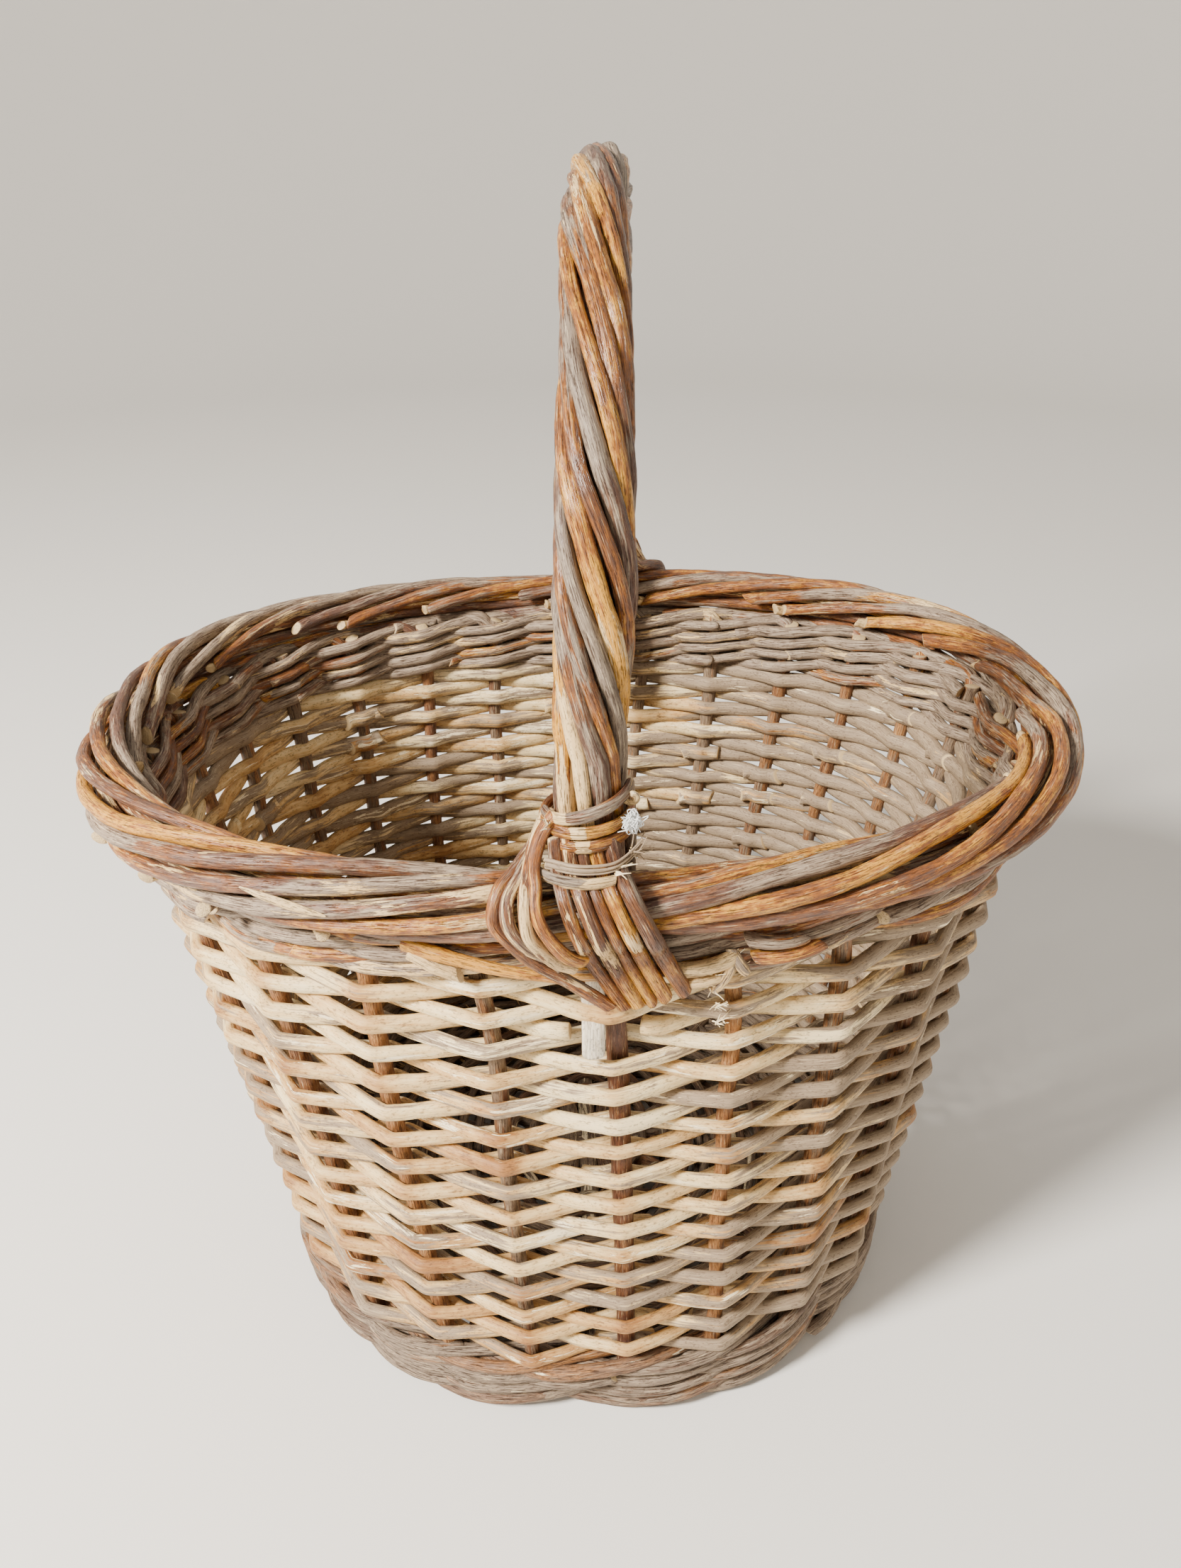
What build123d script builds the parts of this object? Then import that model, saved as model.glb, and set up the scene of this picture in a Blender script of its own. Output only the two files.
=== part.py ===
from build123d import *
from bisect import bisect_right
from math import atan2, ceil, cos, hypot, pi, radians, sin
import os

# A round-based willow basket with an oval rim and a fixed roped handle.
# Millimetres. The origin is on the floor under the middle of the base.
# +X is the long way across the rim, +Y the short way, +Z up; the handle arches from -Y to +Y.

# ---- driving dimensions ----
rim_height = 259.6          # middle of the rolled rim
rim_half_length = 180.0     # middle of the rolled rim, along X
rim_half_width = 129.1      # middle of the rolled rim, along Y
foot_half_length = 129.0    # middle of the side stakes at the floor, along X
foot_half_width = 128.2     # middle of the side stakes at the floor, along Y
rim_overhang = 8.5          # how far the rolled rim stands outside the stakes
oval_power = 2.3            # 2 is a true ellipse, more is squarer
handle_top = 465.3          # outside of the handle at its crown

stake_count = 26
stake_radius = 3.1
stake_phase_foot = 0.346    # stake 0, in stake spaces to the right of the front middle, at the floor
stake_phase_rim = 0.029     # the same at the rim

weaver_radius = 2.25
weaver_pitch = 6.82
weaver_rows = 29
first_weaver_height = 32.6

wale_radius = 2.75
outer_wale_heights = [8.4, 14.4]            # rows that lie wholly outside the bent-up stakes
foot_wale_heights = [20.4, 26.4]            # rows that go outside two stakes and inside one
top_wale_heights = [229.8, 235.8, 241.8]

roll_strands = 8            # turned-down stakes side by side at any place on the rim
roll_radius = 9.2           # from the middle of the rim to the middle of a strand
core_strands = 3
core_strand_radius = 2.6

stick_count_pierced = 3
stick_count_threaded = 4
stick_radius = 4.6
threaded_stick_radius = 3.6
base_weaver_radius = 1.75
base_weaver_pitch = 5.2
base_weave_start = 40.0     # radius of the innermost woven round
base_rounds_inner = 6
base_rounds_outer = 9
base_edge_radius = 117.0
butt_start_radius = 94.8    # the stakes' butts lie beside the sticks from here outward
base_edge_height = 9.6      # middle of the sticks at the edge of the base
base_dome = 6.0             # how much higher the middle of the base is

bow_radius = 5.4
roping_count = 8
roping_radius = 3.2
roping_turns = 3
handle_half_span = 121.0
lapping_radius = 2.4
lapping_turns = 4
lapping_pitch = 5.2
tie_radius = 2.9
peg_width = 8.0
peg_thickness = 3.6
peg_length = 46.0

gap = 0.15                  # between rods that bear on each other
foot_flat = 0.5             # how much of the lowest ring is worn away underneath

bend_share = 1.07           # a rod that slants past a stake stands off by this much more
weave_offset = (stake_radius + weaver_radius + gap) * bend_share
wale_offset = (stake_radius + wale_radius + gap) * bend_share
rim_tube_radius = roll_radius + stake_radius
wall_half_length = rim_half_length - rim_overhang
wall_half_width = rim_half_width - rim_overhang

os.makedirs("parts", exist_ok=True)


# ---- shapes of the whole ----
def oval_point(angle, half_length, half_width):
    """A point of the squarish oval, at a parameter angle that is 0 on +X."""
    exponent = 2 / oval_power
    across, along = cos(angle), sin(angle)
    x = half_length * abs(across) ** exponent * (1 if across > 0 else -1)
    y = half_width * abs(along) ** exponent * (1 if along > 0 else -1)
    return x, y


def even_angles(half_length, half_width, phase):
    """Parameter angles of the stakes, evenly spaced along the oval from the front middle, anticlockwise."""
    steps = 1440
    corners = [oval_point(2 * pi * i / steps, half_length, half_width) for i in range(steps + 1)]
    run = [0.0]
    for before, after in zip(corners, corners[1:]):
        run.append(run[-1] + hypot(after[0] - before[0], after[1] - before[1]))
    angles = []
    for k in range(stake_count):
        lap, fraction = divmod(0.75 + (k + phase) / stake_count, 1)
        target = fraction * run[-1]
        step = bisect_right(run, target) - 1
        part_way = (target - run[step]) / (run[step + 1] - run[step])
        angles.append(2 * pi * (lap + (step + part_way) / steps))
    return angles


def outline(angle, half_length, half_width, offset, height):
    """A point of the oval moved outward by offset, in the horizontal plane at a height."""
    before = oval_point(angle - 0.002, half_length, half_width)
    after = oval_point(angle + 0.002, half_length, half_width)
    x, y = oval_point(angle, half_length, half_width)
    tangent_x, tangent_y = after[0] - before[0], after[1] - before[1]
    length = hypot(tangent_x, tangent_y)
    return x + offset * tangent_y / length, y - offset * tangent_x / length, height


def wall_point(angle, height, offset=0.0):
    """A point on the surface through the middles of the stakes, or offset outward from it."""
    share = height / rim_height
    half_length = foot_half_length + (wall_half_length - foot_half_length) * share
    half_width = foot_half_width + (wall_half_width - foot_half_width) * share
    return outline(angle, half_length, half_width, offset, height)


def rim_point(angle, around, radius):
    """A point at a radius from the middle of the rolled rim; around is 0 outside and 90 degrees on top."""
    height = rim_height + radius * sin(around)
    return outline(angle, rim_half_length, rim_half_width, radius * cos(around), height)


foot_angles = even_angles(foot_half_length, foot_half_width, stake_phase_foot)
rim_angles = even_angles(rim_half_length, rim_half_width, stake_phase_rim)


def stake_angle(place, height):
    """The parameter angle of a place counted in stakes; halves are midway between two stakes."""
    share = height / rim_height
    low = int(place // 1)
    part_way = place - low
    found = []
    for index in (low, low + 1):
        lap, k = divmod(index, stake_count)
        foot, rim = foot_angles[k], rim_angles[k]
        found.append(foot + (rim - foot) * share + 2 * pi * lap)
    return found[0] + (found[1] - found[0]) * part_way


def base_height(radius):
    """The height of the middle of the domed base at a distance from its centre."""
    return base_edge_height + base_dome * (1 - (radius / base_edge_radius) ** 2)


# ---- rods ----
def rod(points, radius):
    """A round rod along straight stretches between points, mitred where it bends and square at its ends."""
    with BuildPart() as piece:
        with BuildLine() as middle:
            Polyline(*points)
        with BuildSketch(Plane(middle.line @ 0, z_dir=middle.line % 0)):
            Circle(radius)
        sweep(transition=Transition.RIGHT)
    return piece.part.solids()[0]


def hoop(points, radius):
    """A round rod along a smooth closed line through points."""
    with BuildPart() as piece:
        with BuildLine() as middle:
            Spline(*points, periodic=True)
        with BuildSketch(Plane(middle.line @ 0, z_dir=middle.line % 0)):
            Circle(radius)
        sweep()
    return piece.part.solids()[0]


def save(solids, label):
    """Writes a node made of separate solids."""
    node = Compound(children=list(solids))
    node.label = label
    export_step(node, f"parts/{label}.step")


# ---- base ----
stick_ends = 2 * (stick_count_pierced + stick_count_threaded)
cross_half = 24.0           # the sticks run parallel this far from the middle, then fan out
threaded_spacing = 2 * threaded_stick_radius + 0.8
pierced_spacing = 2 * stick_radius + 0.8


def stick_place(quarter, place, radius):
    """Where one end of a stick crosses a circle of this radius round the centre, seen from above."""
    threaded = quarter % 2 == 0
    count = stick_count_threaded if threaded else stick_count_pierced
    spacing = threaded_spacing if threaded else pierced_spacing
    offset = (place - (count - 1) / 2) * spacing
    fanned = (place - (count - 1) / 2) * 2 * pi / stick_ends
    end_x, end_y = base_edge_radius * cos(fanned), base_edge_radius * sin(fanned)
    if radius <= hypot(cross_half, offset):
        x, y = (radius ** 2 - offset ** 2) ** 0.5, offset
    else:
        run_x, run_y = end_x - cross_half, end_y - offset
        run_square = run_x ** 2 + run_y ** 2
        half_b = cross_half * run_x + offset * run_y
        rest = cross_half ** 2 + offset ** 2 - radius ** 2
        share = (-half_b + (half_b ** 2 - run_square * rest) ** 0.5) / run_square
        x, y = cross_half + run_x * share, offset + run_y * share
    turn = quarter * pi / 2
    return x * cos(turn) - y * sin(turn), x * sin(turn) + y * cos(turn)


def stick_points(quarter, place, count):
    """The middle line of a whole stick, from one end through the cross to the other."""
    radii = [base_edge_radius, 88.0, 60.0, 35.0, 20.0]
    line = [(*stick_place(quarter + 2, count - 1 - place, r), base_height(r)) for r in radii]
    line += [(*stick_place(quarter, place, r), base_height(r)) for r in reversed(radii)]
    return line


split_height = 2 * threaded_stick_radius + 2 * gap
with BuildPart() as stick_split:
    with Locations((0, 0, base_height(0))):
        Box(
            pierced_spacing * (stick_count_pierced + 1),
            threaded_spacing * stick_count_threaded + 6,
            split_height,
        )

pierced = []
for place in range(stick_count_pierced):
    whole = rod(stick_points(1, place, stick_count_pierced), stick_radius)
    pierced.append((whole - stick_split.part).solids()[0])
save(pierced, "base_sticks_pierced")

threaded = []
for place in range(stick_count_threaded):
    threaded.append(rod(stick_points(0, place, stick_count_threaded), threaded_stick_radius))
save(threaded, "base_sticks_threaded")


def base_round(radius, ways, beside):
    """One rod round the base: ways holds +1 (over) or -1 (under) for each stick end in turn."""
    knots = []
    for index in range(stick_ends):
        quarter, place = end_places[index]
        x, y = stick_place(quarter, place, radius)
        thick = threaded_stick_radius if quarter % 2 == 0 else stick_radius
        angle = atan2(y, x) % (2 * pi)
        rise = ways[index] * (thick + base_weaver_radius + gap)
        knots.append((angle, rise))
        if beside:
            side = (thick + stake_radius + gap) / radius
            side_rise = ways[index] * (stake_radius + base_weaver_radius + 3 * gap)
            knots += [((angle + turn) % (2 * pi), side_rise) for turn in (-side, side)]
    knots.sort()
    knots.append((knots[0][0] + 2 * pi, knots[0][1]))
    crossings = [
        (index, (before[0] + after[0]) / 2)
        for index, (before, after) in enumerate(zip(knots, knots[1:]))
        if before[1] * after[1] < 0
    ]
    first, start_angle = crossings[0]
    end_gap = base_weaver_radius / radius
    line = [(start_angle + end_gap, 0.0)]
    line += knots[first + 1:-1]
    line += [(angle + 2 * pi, rise) for angle, rise in knots[:first + 1]]
    if not beside:
        line += [(angle + (2 * pi if index < first else 0), 0.0) for index, angle in crossings[1:]]
    line.append((start_angle + 2 * pi - end_gap, 0.0))
    line.sort()
    return rod(
        [(radius * cos(a), radius * sin(a), base_height(radius) + rise) for a, rise in line],
        base_weaver_radius,
    )


end_places = []
for quarter in range(4):
    count = stick_count_threaded if quarter % 2 == 0 else stick_count_pierced
    end_places += [(quarter, place) for place in range(count)]

# Two tying rods bind the cross: where one goes over a group of sticks the other goes under it.
tie_rounds = []
for radius, side in ((29.5, 1), (34.0, -1)):
    ways = [side if quarter % 2 == 0 else -side for quarter, place in end_places]
    tie_rounds.append(base_round(radius, ways, False))
save(tie_rounds, "base_tie_rods")

base_rounds = []
for row in range(base_rounds_inner + base_rounds_outer):
    radius = base_weave_start + row * base_weaver_pitch
    beside = radius > butt_start_radius
    ways = [1 if (index + row) % 2 == 0 else -1 for index in range(stick_ends)]
    base_rounds.append(base_round(radius, ways, beside))
save(base_rounds[:base_rounds_inner], "base_weave_inner")
save(base_rounds[base_rounds_inner:], "base_weave_outer")


# ---- side stakes ----
def butt_place(k, radius):
    """A point of stake k's butt, which lies in the base beside a stick end. Two stick ends hold one butt."""
    slot = k + (1 if k >= 9 else 0) + (1 if k >= 22 else 0)
    quarter, place = end_places[(front_end + (slot + 1) // 2) % stick_ends]
    thick = threaded_stick_radius if quarter % 2 == 0 else stick_radius
    aside = (thick + stake_radius + gap) * (1 if slot % 2 == 0 else -1)
    x, y = stick_place(quarter, place, radius)
    return x - aside * y / radius, y + aside * x / radius, base_height(radius)


front_end = end_places.index((3, stick_count_pierced // 2))
bend_start = base_edge_radius - 1
stakes = []
for k in range(stake_count):
    line = [butt_place(k, radius) for radius in (butt_start_radius, bend_start)]
    foot = line[-1]
    wall = wall_point(stake_angle(k, 16.0), 16.0)
    line.append((foot[0] + 0.72 * (wall[0] - foot[0]), foot[1] + 0.72 * (wall[1] - foot[1]), 11.2))
    line.append(wall_point(stake_angle(k, 19.0), 19.0, -0.9))
    for height in (28.0, 236.0):
        line.append(wall_point(stake_angle(k, height), height))
    # The bend at the top, then once round the middle of the rim: under it, up its outside, over and down inside.
    for along, outward, up in ((0.02, -8.4, -14.5), (0.12, -6.6, -10.4)):
        around, radius = atan2(up, outward), hypot(up, outward)
        line.append(rim_point(stake_angle(k + along, rim_height), around, radius))
    steps = 2 * roll_strands
    for step in range(steps + 1):
        along = 0.3 + (roll_strands - 0.8) * step / steps
        around = radians(225) + 2 * pi * along / roll_strands
        line.append(rim_point(stake_angle(k + along, rim_height), around, roll_radius))
    stakes.append(rod(line, stake_radius))
save(stakes, "side_stakes")

core = []
core_spread = (core_strand_radius + gap) / sin(pi / core_strands)
for strand in range(core_strands):
    around = 2 * pi * strand / core_strands
    line = [rim_point(stake_angle(k, rim_height), around, core_spread) for k in range(stake_count)]
    core.append(hoop(line, core_strand_radius))
save(core, "rim_core_rods")


# ---- weaving ----
def woven_row(height, start, is_inside, offset, radius):
    """One rod round the basket, starting and ending behind stake number start."""
    end_gap = 0.14
    places = [end_gap, *range(1, stake_count), stake_count - end_gap]
    line = []
    for step, place in enumerate(places):
        side = -1 if is_inside(step) else 1
        line.append(wall_point(stake_angle(start + place, height), height, side * offset))
    return rod(line, radius)


weavers = []
for row in range(weaver_rows):
    height = first_weaver_height + row * weaver_pitch
    start = 7 * row % stake_count
    start += (start + row) % 2
    weavers.append(woven_row(height, start, lambda step: step % 2 == 0, weave_offset, weaver_radius))
third = ceil(weaver_rows / 3)
save(weavers[:third], "side_weave_lower")
save(weavers[third:2 * third], "side_weave_middle")
save(weavers[2 * third:], "side_weave_upper")

foot_wale = []
for height in outer_wale_heights:
    ring = [
        wall_point(stake_angle(k / 2, height), height, wale_offset + 0.5)
        for k in range(2 * stake_count)
    ]
    foot_wale.append(hoop(ring, wale_radius))
for row, height in enumerate(foot_wale_heights):
    foot_wale.append(woven_row(height, 5 + row, lambda step: step % 3 == 0, wale_offset + 0.4, wale_radius))
save(foot_wale, "foot_wale")

top_wale = []
for row, height in enumerate(top_wale_heights):
    top_wale.append(woven_row(height, 16 + row, lambda step: step % 3 == 0, wale_offset, wale_radius))
save(top_wale, "top_wale")

# The lowest ring, worn flat where the basket stands.
foot_height = wale_radius - foot_flat
with BuildPart() as foot_ring:
    with BuildLine() as middle:
        Spline(
            *[wall_point(stake_angle(k, foot_height), foot_height, 1.0) for k in range(stake_count)],
            periodic=True,
        )
    with BuildSketch(Plane(middle.line @ 0, z_dir=middle.line % 0)):
        Circle(wale_radius)
    sweep()
    split(bisect_by=Plane.XY, keep=Keep.TOP)
foot_ring.part.label = "foot_ring"
export_step(foot_ring.part, "parts/foot_ring.step")

# ---- handle ----
bundle_radius = bow_radius + 2 * roping_radius + 0.4    # outside of the roped handle
strand_circle = bow_radius + roping_radius + 0.4
handle_rise = handle_top - bundle_radius - rim_height
arch_power = 0.8            # below 1 makes the shoulders of the arch fuller
bundle_start = 4.5          # degrees up the arch where the rods come together


def arch_point(degrees):
    """The middle of the handle as (y, z); 0 and 180 degrees are its feet."""
    angle = radians(degrees)
    return -handle_half_span * cos(angle), rim_height + handle_rise * sin(angle) ** arch_power


arch_steps = 360
arch_degrees = [
    bundle_start + (180 - 2 * bundle_start) * step / arch_steps for step in range(arch_steps + 1)
]
arch_line = [arch_point(degrees) for degrees in arch_degrees]
arch_run = [0.0]
for before, after in zip(arch_line, arch_line[1:]):
    arch_run.append(arch_run[-1] + hypot(after[0] - before[0], after[1] - before[1]))
arch_length = arch_run[-1]


def around_handle(length, around, radius):
    """A point beside the handle's middle line: around is 0 on +X and 90 degrees on the outside."""
    step = 0
    while step < arch_steps - 1 and arch_run[step + 1] < length:
        step += 1
    part_way = (length - arch_run[step]) / (arch_run[step + 1] - arch_run[step])
    y, z = arch_line[step]
    next_y, next_z = arch_line[step + 1]
    run = hypot(next_y - y, next_z - z)
    out_y, out_z = -(next_z - z) / run, (next_y - y) / run
    y += (next_y - y) * part_way
    z += (next_z - z) * part_way
    return radius * cos(around), y + radius * sin(around) * out_y, z + radius * sin(around) * out_z


def turned(points):
    """The same points half a turn round the basket's upright axis."""
    return [(-x, -y, z) for x, y, z in points]


# The bow: down inside the rim at each end.
bow_foot = [(0, -109.5, 170.0), (0, -108.0, 215.0), (0, -107.0, 240.0), (0, -110.6, 262.0)]
bow_arch = [around_handle(arch_length * step / 16, 0, 0) for step in range(17)]
save([rod(bow_foot + bow_arch + turned(bow_foot)[::-1], bow_radius)], "handle_bow")

# Where a roping rod goes below the bundle, by its place across the handle: (x, y, z) from the bundle down.
clear = rim_tube_radius + roping_radius + 0.3


def over_rim(degrees):
    """(y, z) of a rod that lies on the rim at the front, by its angle above the outward direction."""
    angle = radians(degrees)
    return -rim_half_width - clear * cos(angle), rim_height + clear * sin(angle)


def outer_tail(x_over, x_side, x_under, x_end):
    """A tail over the outside of the rim and down the wall."""
    return [
        (x_over, *over_rim(70)),
        (x_over + (x_side - x_over) / 2, *over_rim(35)),
        (x_side, *over_rim(0)),
        (x_under, *over_rim(-35)),
        ((x_under + x_end) / 2, -138.0, 240.0),
        (x_end, -135.8, 228.0),
    ]


outer_tails = [
    outer_tail(-9.5, -2.5, 3.4, 8.0),
    outer_tail(-2.8, 4.4, 10.2, 14.8),
    outer_tail(4.0, 11.2, 17.0, 21.6),
    outer_tail(10.8, 18.2, 23.8, 28.4),
]
inner_tails = [
    [(-10.5, -113.5, 272.0), (-12.5, -112.2, 259.0), (-13.5, -108.4, 242.0), (-14.0, -108.6, 225.0)],
    [(-3.6, -104.8, 270.0), (-3.6, -101.0, 258.0), (-3.6, -97.6, 240.0), (-3.6, -98.6, 222.0)],
    [(3.6, -104.8, 270.0), (3.6, -101.0, 258.0), (3.6, -97.6, 240.0), (3.6, -98.6, 222.0)],
    [(10.5, -113.5, 272.0), (12.5, -112.2, 259.0), (13.5, -108.4, 242.0), (14.0, -108.6, 225.0)],
]


def tail(around):
    """The tail of the strand that ends the bundle at this angle."""
    half = roping_count // 2
    order = int(around % (2 * pi) // (2 * pi / roping_count))
    return outer_tails[half - 1 - order] if order < half else inner_tails[order - half]


roping = []
for strand in range(roping_count):
    start = 2 * pi * (strand + 0.5) / roping_count
    steps = 12 * roping_turns
    helix = [
        around_handle(
            arch_length * step / steps,
            start + 2 * pi * roping_turns * step / steps,
            strand_circle,
        )
        for step in range(steps + 1)
    ]
    line = tail(start)[::-1] + helix + turned(tail(pi - start))
    roping.append(rod(line, roping_radius))
save(roping[:roping_count // 2], "handle_roping_first")
save(roping[roping_count // 2:], "handle_roping_second")


# The lapping: a rod wound round each foot of the handle.
lapping_circle = bundle_radius + lapping_radius + gap
lapping_start = 6.0
lapping_steps = 20 * lapping_turns
lapping = [
    around_handle(
        lapping_start + lapping_pitch * lapping_turns * step / lapping_steps,
        2 * pi * lapping_turns * step / lapping_steps,
        lapping_circle,
    )
    for step in range(lapping_steps + 1)
]
save([rod(lapping, lapping_radius)], "handle_lapping_front")
save([rod(turned(lapping), lapping_radius)], "handle_lapping_back")

# Short tie rods that come over the rim beside the handle, bend back and tuck in under its tails.
tie_lines = []
for place in range(3):
    x_bend = -33.0 + 6.4 * place
    tie_lines.append([
        (x_bend + 2.5, *over_rim(90)),
        (x_bend + 1.6, *over_rim(50)),
        (x_bend + 0.6, *over_rim(18)),
        (x_bend, *over_rim(0)),
        (x_bend + 3.0, *over_rim(-20)),
        (x_bend + 10.0, *over_rim(-45)),
    ])
save([rod(line, tie_radius) for line in tie_lines], "handle_ties_front")
save([rod(turned(line), tie_radius) for line in tie_lines], "handle_ties_back")

# The split peg that is driven down outside the weave at each foot of the handle.
peg_top = rim_height - rim_tube_radius - 2.5
peg_inner_face = -130.0


def peg(at_back):
    """A flat pale peg with a slanting cut at its foot."""
    turn = Plane.XY.rotated((0, 0, 180)) if at_back else Plane.XY
    with BuildPart(turn) as piece:
        with Locations((1.5, peg_inner_face - peg_thickness / 2, peg_top - peg_length / 2)):
            Box(peg_width, peg_thickness, peg_length)
        foot_edge = piece.edges().filter_by(Axis.X).sort_by(Axis.Z)[0]
        chamfer(foot_edge, 3.0, 2.4)
    return piece.part.solids()[0]


save([peg(False)], "handle_peg_front")
save([peg(True)], "handle_peg_back")
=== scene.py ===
import math
import bpy
import numpy as np
from mathutils import Matrix, Vector


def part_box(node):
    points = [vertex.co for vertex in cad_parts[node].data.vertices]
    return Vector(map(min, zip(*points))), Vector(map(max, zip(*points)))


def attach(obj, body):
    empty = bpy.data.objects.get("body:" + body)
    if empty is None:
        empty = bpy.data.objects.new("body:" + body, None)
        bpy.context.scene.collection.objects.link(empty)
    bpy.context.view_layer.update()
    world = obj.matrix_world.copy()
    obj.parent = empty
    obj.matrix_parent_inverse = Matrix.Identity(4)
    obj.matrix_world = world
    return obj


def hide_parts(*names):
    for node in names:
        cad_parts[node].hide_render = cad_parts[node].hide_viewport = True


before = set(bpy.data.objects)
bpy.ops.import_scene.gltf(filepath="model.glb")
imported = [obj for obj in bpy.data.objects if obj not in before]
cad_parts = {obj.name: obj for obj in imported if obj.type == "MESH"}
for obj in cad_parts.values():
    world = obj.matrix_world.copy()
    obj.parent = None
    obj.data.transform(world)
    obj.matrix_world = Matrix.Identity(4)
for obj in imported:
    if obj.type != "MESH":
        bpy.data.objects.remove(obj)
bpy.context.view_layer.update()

# Lengths are millimetres until a mesh is made. +X is the long way of the rim, -Y the front.
MM = 0.001


def box_mm(node):
    """The lowest and highest corners of a CAD node, in millimetres."""
    low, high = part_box(node)
    return np.array(low) / MM, np.array(high) / MM


def in_scene(name, data):
    """A new object of the scene."""
    made = bpy.data.objects.new(name, data)
    bpy.context.scene.collection.objects.link(made)
    return made


# ---- sizes, worked out from the frame ----
core_low, core_high = box_mm("rim_core_rods")
foot_low, foot_high = box_mm("foot_ring")
lower_low, _ = box_mm("side_weave_lower")
_, upper_high = box_mm("side_weave_upper")
_, bow_high = box_mm("handle_bow")

core_reach = 5.8            # from the middle of the rim to the outside of its core rods
rim_half_length = (core_high[0] - core_low[0]) / 2 - core_reach
rim_half_width = (core_high[1] - core_low[1]) / 2 - core_reach
rim_height = (core_high[2] + core_low[2]) / 2
rim_overhang = 8.5          # the rim stands this far outside the stakes
wall_half_length = rim_half_length - rim_overhang
wall_half_width = rim_half_width - rim_overhang
foot_ring_reach = 3.75      # from the stakes to the outside of the lowest ring
foot_half_length = (foot_high[0] - foot_low[0]) / 2 - foot_ring_reach
foot_half_width = (foot_high[1] - foot_low[1]) / 2 - foot_ring_reach
oval_power = 2.3
lean_left = 1.6             # the rim stands this far off the middle of the base
lean_forward = 4.3
end_lift = 1.6              # how far the rim rises at both ends, at the right end, and toward the front
right_lift = 2.1
front_lift = 1.2

stake_count = 26
stake_space = 37.0          # about the distance between stakes, for lengths counted along a rod
stake_phase_foot = 0.346
stake_phase_rim = 0.06
weaver_rows = 29
cad_weaver_radius = 2.25
first_row_height = lower_low[2] + cad_weaver_radius
row_pitch = (upper_high[2] - cad_weaver_radius - first_row_height) / (weaver_rows - 1)
weave_swing = 6.1           # how far a weaver's middle stands in or out where it passes a stake
bow_radius = 5.4
crown_height = bow_high[2] - bow_radius
handle_half_span = 121.0
handle_rise = crown_height - rim_height

master = np.random.default_rng(20240417)


def fresh():
    """A new seeded source of chance for one rod."""
    return np.random.default_rng(int(master.integers(1 << 30)))


def wander(run, spacing, chance):
    """A smooth uneven line along a run of lengths, about -1 to 1, that changes over the spacing."""
    total = np.zeros_like(run, dtype=float)
    for share, weight in ((1.0, 0.55), (0.53, 0.3), (0.31, 0.2)):
        turns = 2 * np.pi / (4 * spacing * share * chance.uniform(0.8, 1.25))
        total += weight * np.sin(run * turns + chance.uniform(0, 2 * np.pi))
    return total


def near(value, middle, width):
    """1 at the middle, falling off smoothly on both sides."""
    return np.exp(-((value - middle) / width) ** 2)


# ---- the shape of the whole ----
def signed_power(value, power):
    return np.sign(value) * np.abs(value) ** power


def oval(angle, half_length, half_width):
    """x and y on the squarish oval at a parameter angle that is 0 on +X."""
    exponent = 2 / oval_power
    x = half_length * signed_power(np.cos(angle), exponent)
    y = half_width * signed_power(np.sin(angle), exponent)
    return x, y


def settled(x, y, z, share):
    """The hand-made unevenness of the whole: it leans a little forward and its right end stands higher."""
    long_share = x / rim_half_length
    wide_share = y / rim_half_width
    lift = end_lift * long_share ** 2 + right_lift * long_share - front_lift * wide_share
    return np.stack([x - lean_left * share, y - lean_forward * share, z + lift * share], -1)


def outline(angle, half_length, half_width, offset):
    """x and y on the oval, moved outward by an offset."""
    step = 0.003
    x0, y0 = oval(angle - step, half_length, half_width)
    x1, y1 = oval(angle + step, half_length, half_width)
    x, y = oval(angle, half_length, half_width)
    length = np.hypot(x1 - x0, y1 - y0)
    return x + offset * (y1 - y0) / length, y - offset * (x1 - x0) / length


lap_places = np.arange(-stake_count, 3 * stake_count + 1)


def even_angles(half_length, half_width, phase):
    """Parameter angles of the stakes over several laps from the front middle, anticlockwise. They stand wider
    apart at the front and closer at the ends."""
    angle = np.linspace(0, 2 * np.pi, 1441)
    x, y = oval(angle, half_length, half_width)
    run = np.concatenate([[0], np.cumsum(np.hypot(np.diff(x), np.diff(y)))])
    part = (lap_places + phase) / stake_count
    spread = 0.08 * np.sin(2 * np.pi * part) + 0.035 * np.sin(4 * np.pi * part)
    share = 0.75 + part + spread / (2 * np.pi)
    return np.interp(share % 1, run / run[-1], angle) + 2 * np.pi * np.floor(share)


foot_angles = even_angles(foot_half_length, foot_half_width, stake_phase_foot)
rim_angles = even_angles(rim_half_length, rim_half_width, stake_phase_rim)


def wall(place, height, offset=0.0):
    """A point of the side at a place counted in stakes, or offset outward from the middles of the stakes."""
    place, height, offset = np.broadcast_arrays(place, height, offset)
    share = height / rim_height
    low = np.interp(place, lap_places, foot_angles)
    angle = low + (np.interp(place, lap_places, rim_angles) - low) * share
    half_length = foot_half_length + (wall_half_length - foot_half_length) * share
    half_width = foot_half_width + (wall_half_width - foot_half_width) * share
    x, y = outline(angle, half_length, half_width, offset)
    return settled(x, y, height, share)


def rim(place, around, radius):
    """A point round the middle of the rolled rim; around is 0 degrees outside and 90 on top."""
    place, around, radius = np.broadcast_arrays(place, np.radians(around), radius)
    angle = np.interp(place, lap_places, rim_angles)
    quarter = stake_count / 4
    from_handle = (place + quarter) % (2 * quarter) - quarter
    pressed = 0.2 * near(from_handle, 0.4, 0.9)
    radius = radius * (1 - pressed)
    x, y = outline(angle, rim_half_length, rim_half_width, radius * np.cos(around))
    return settled(x, y, rim_height + radius * np.sin(around), 1.0)


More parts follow.
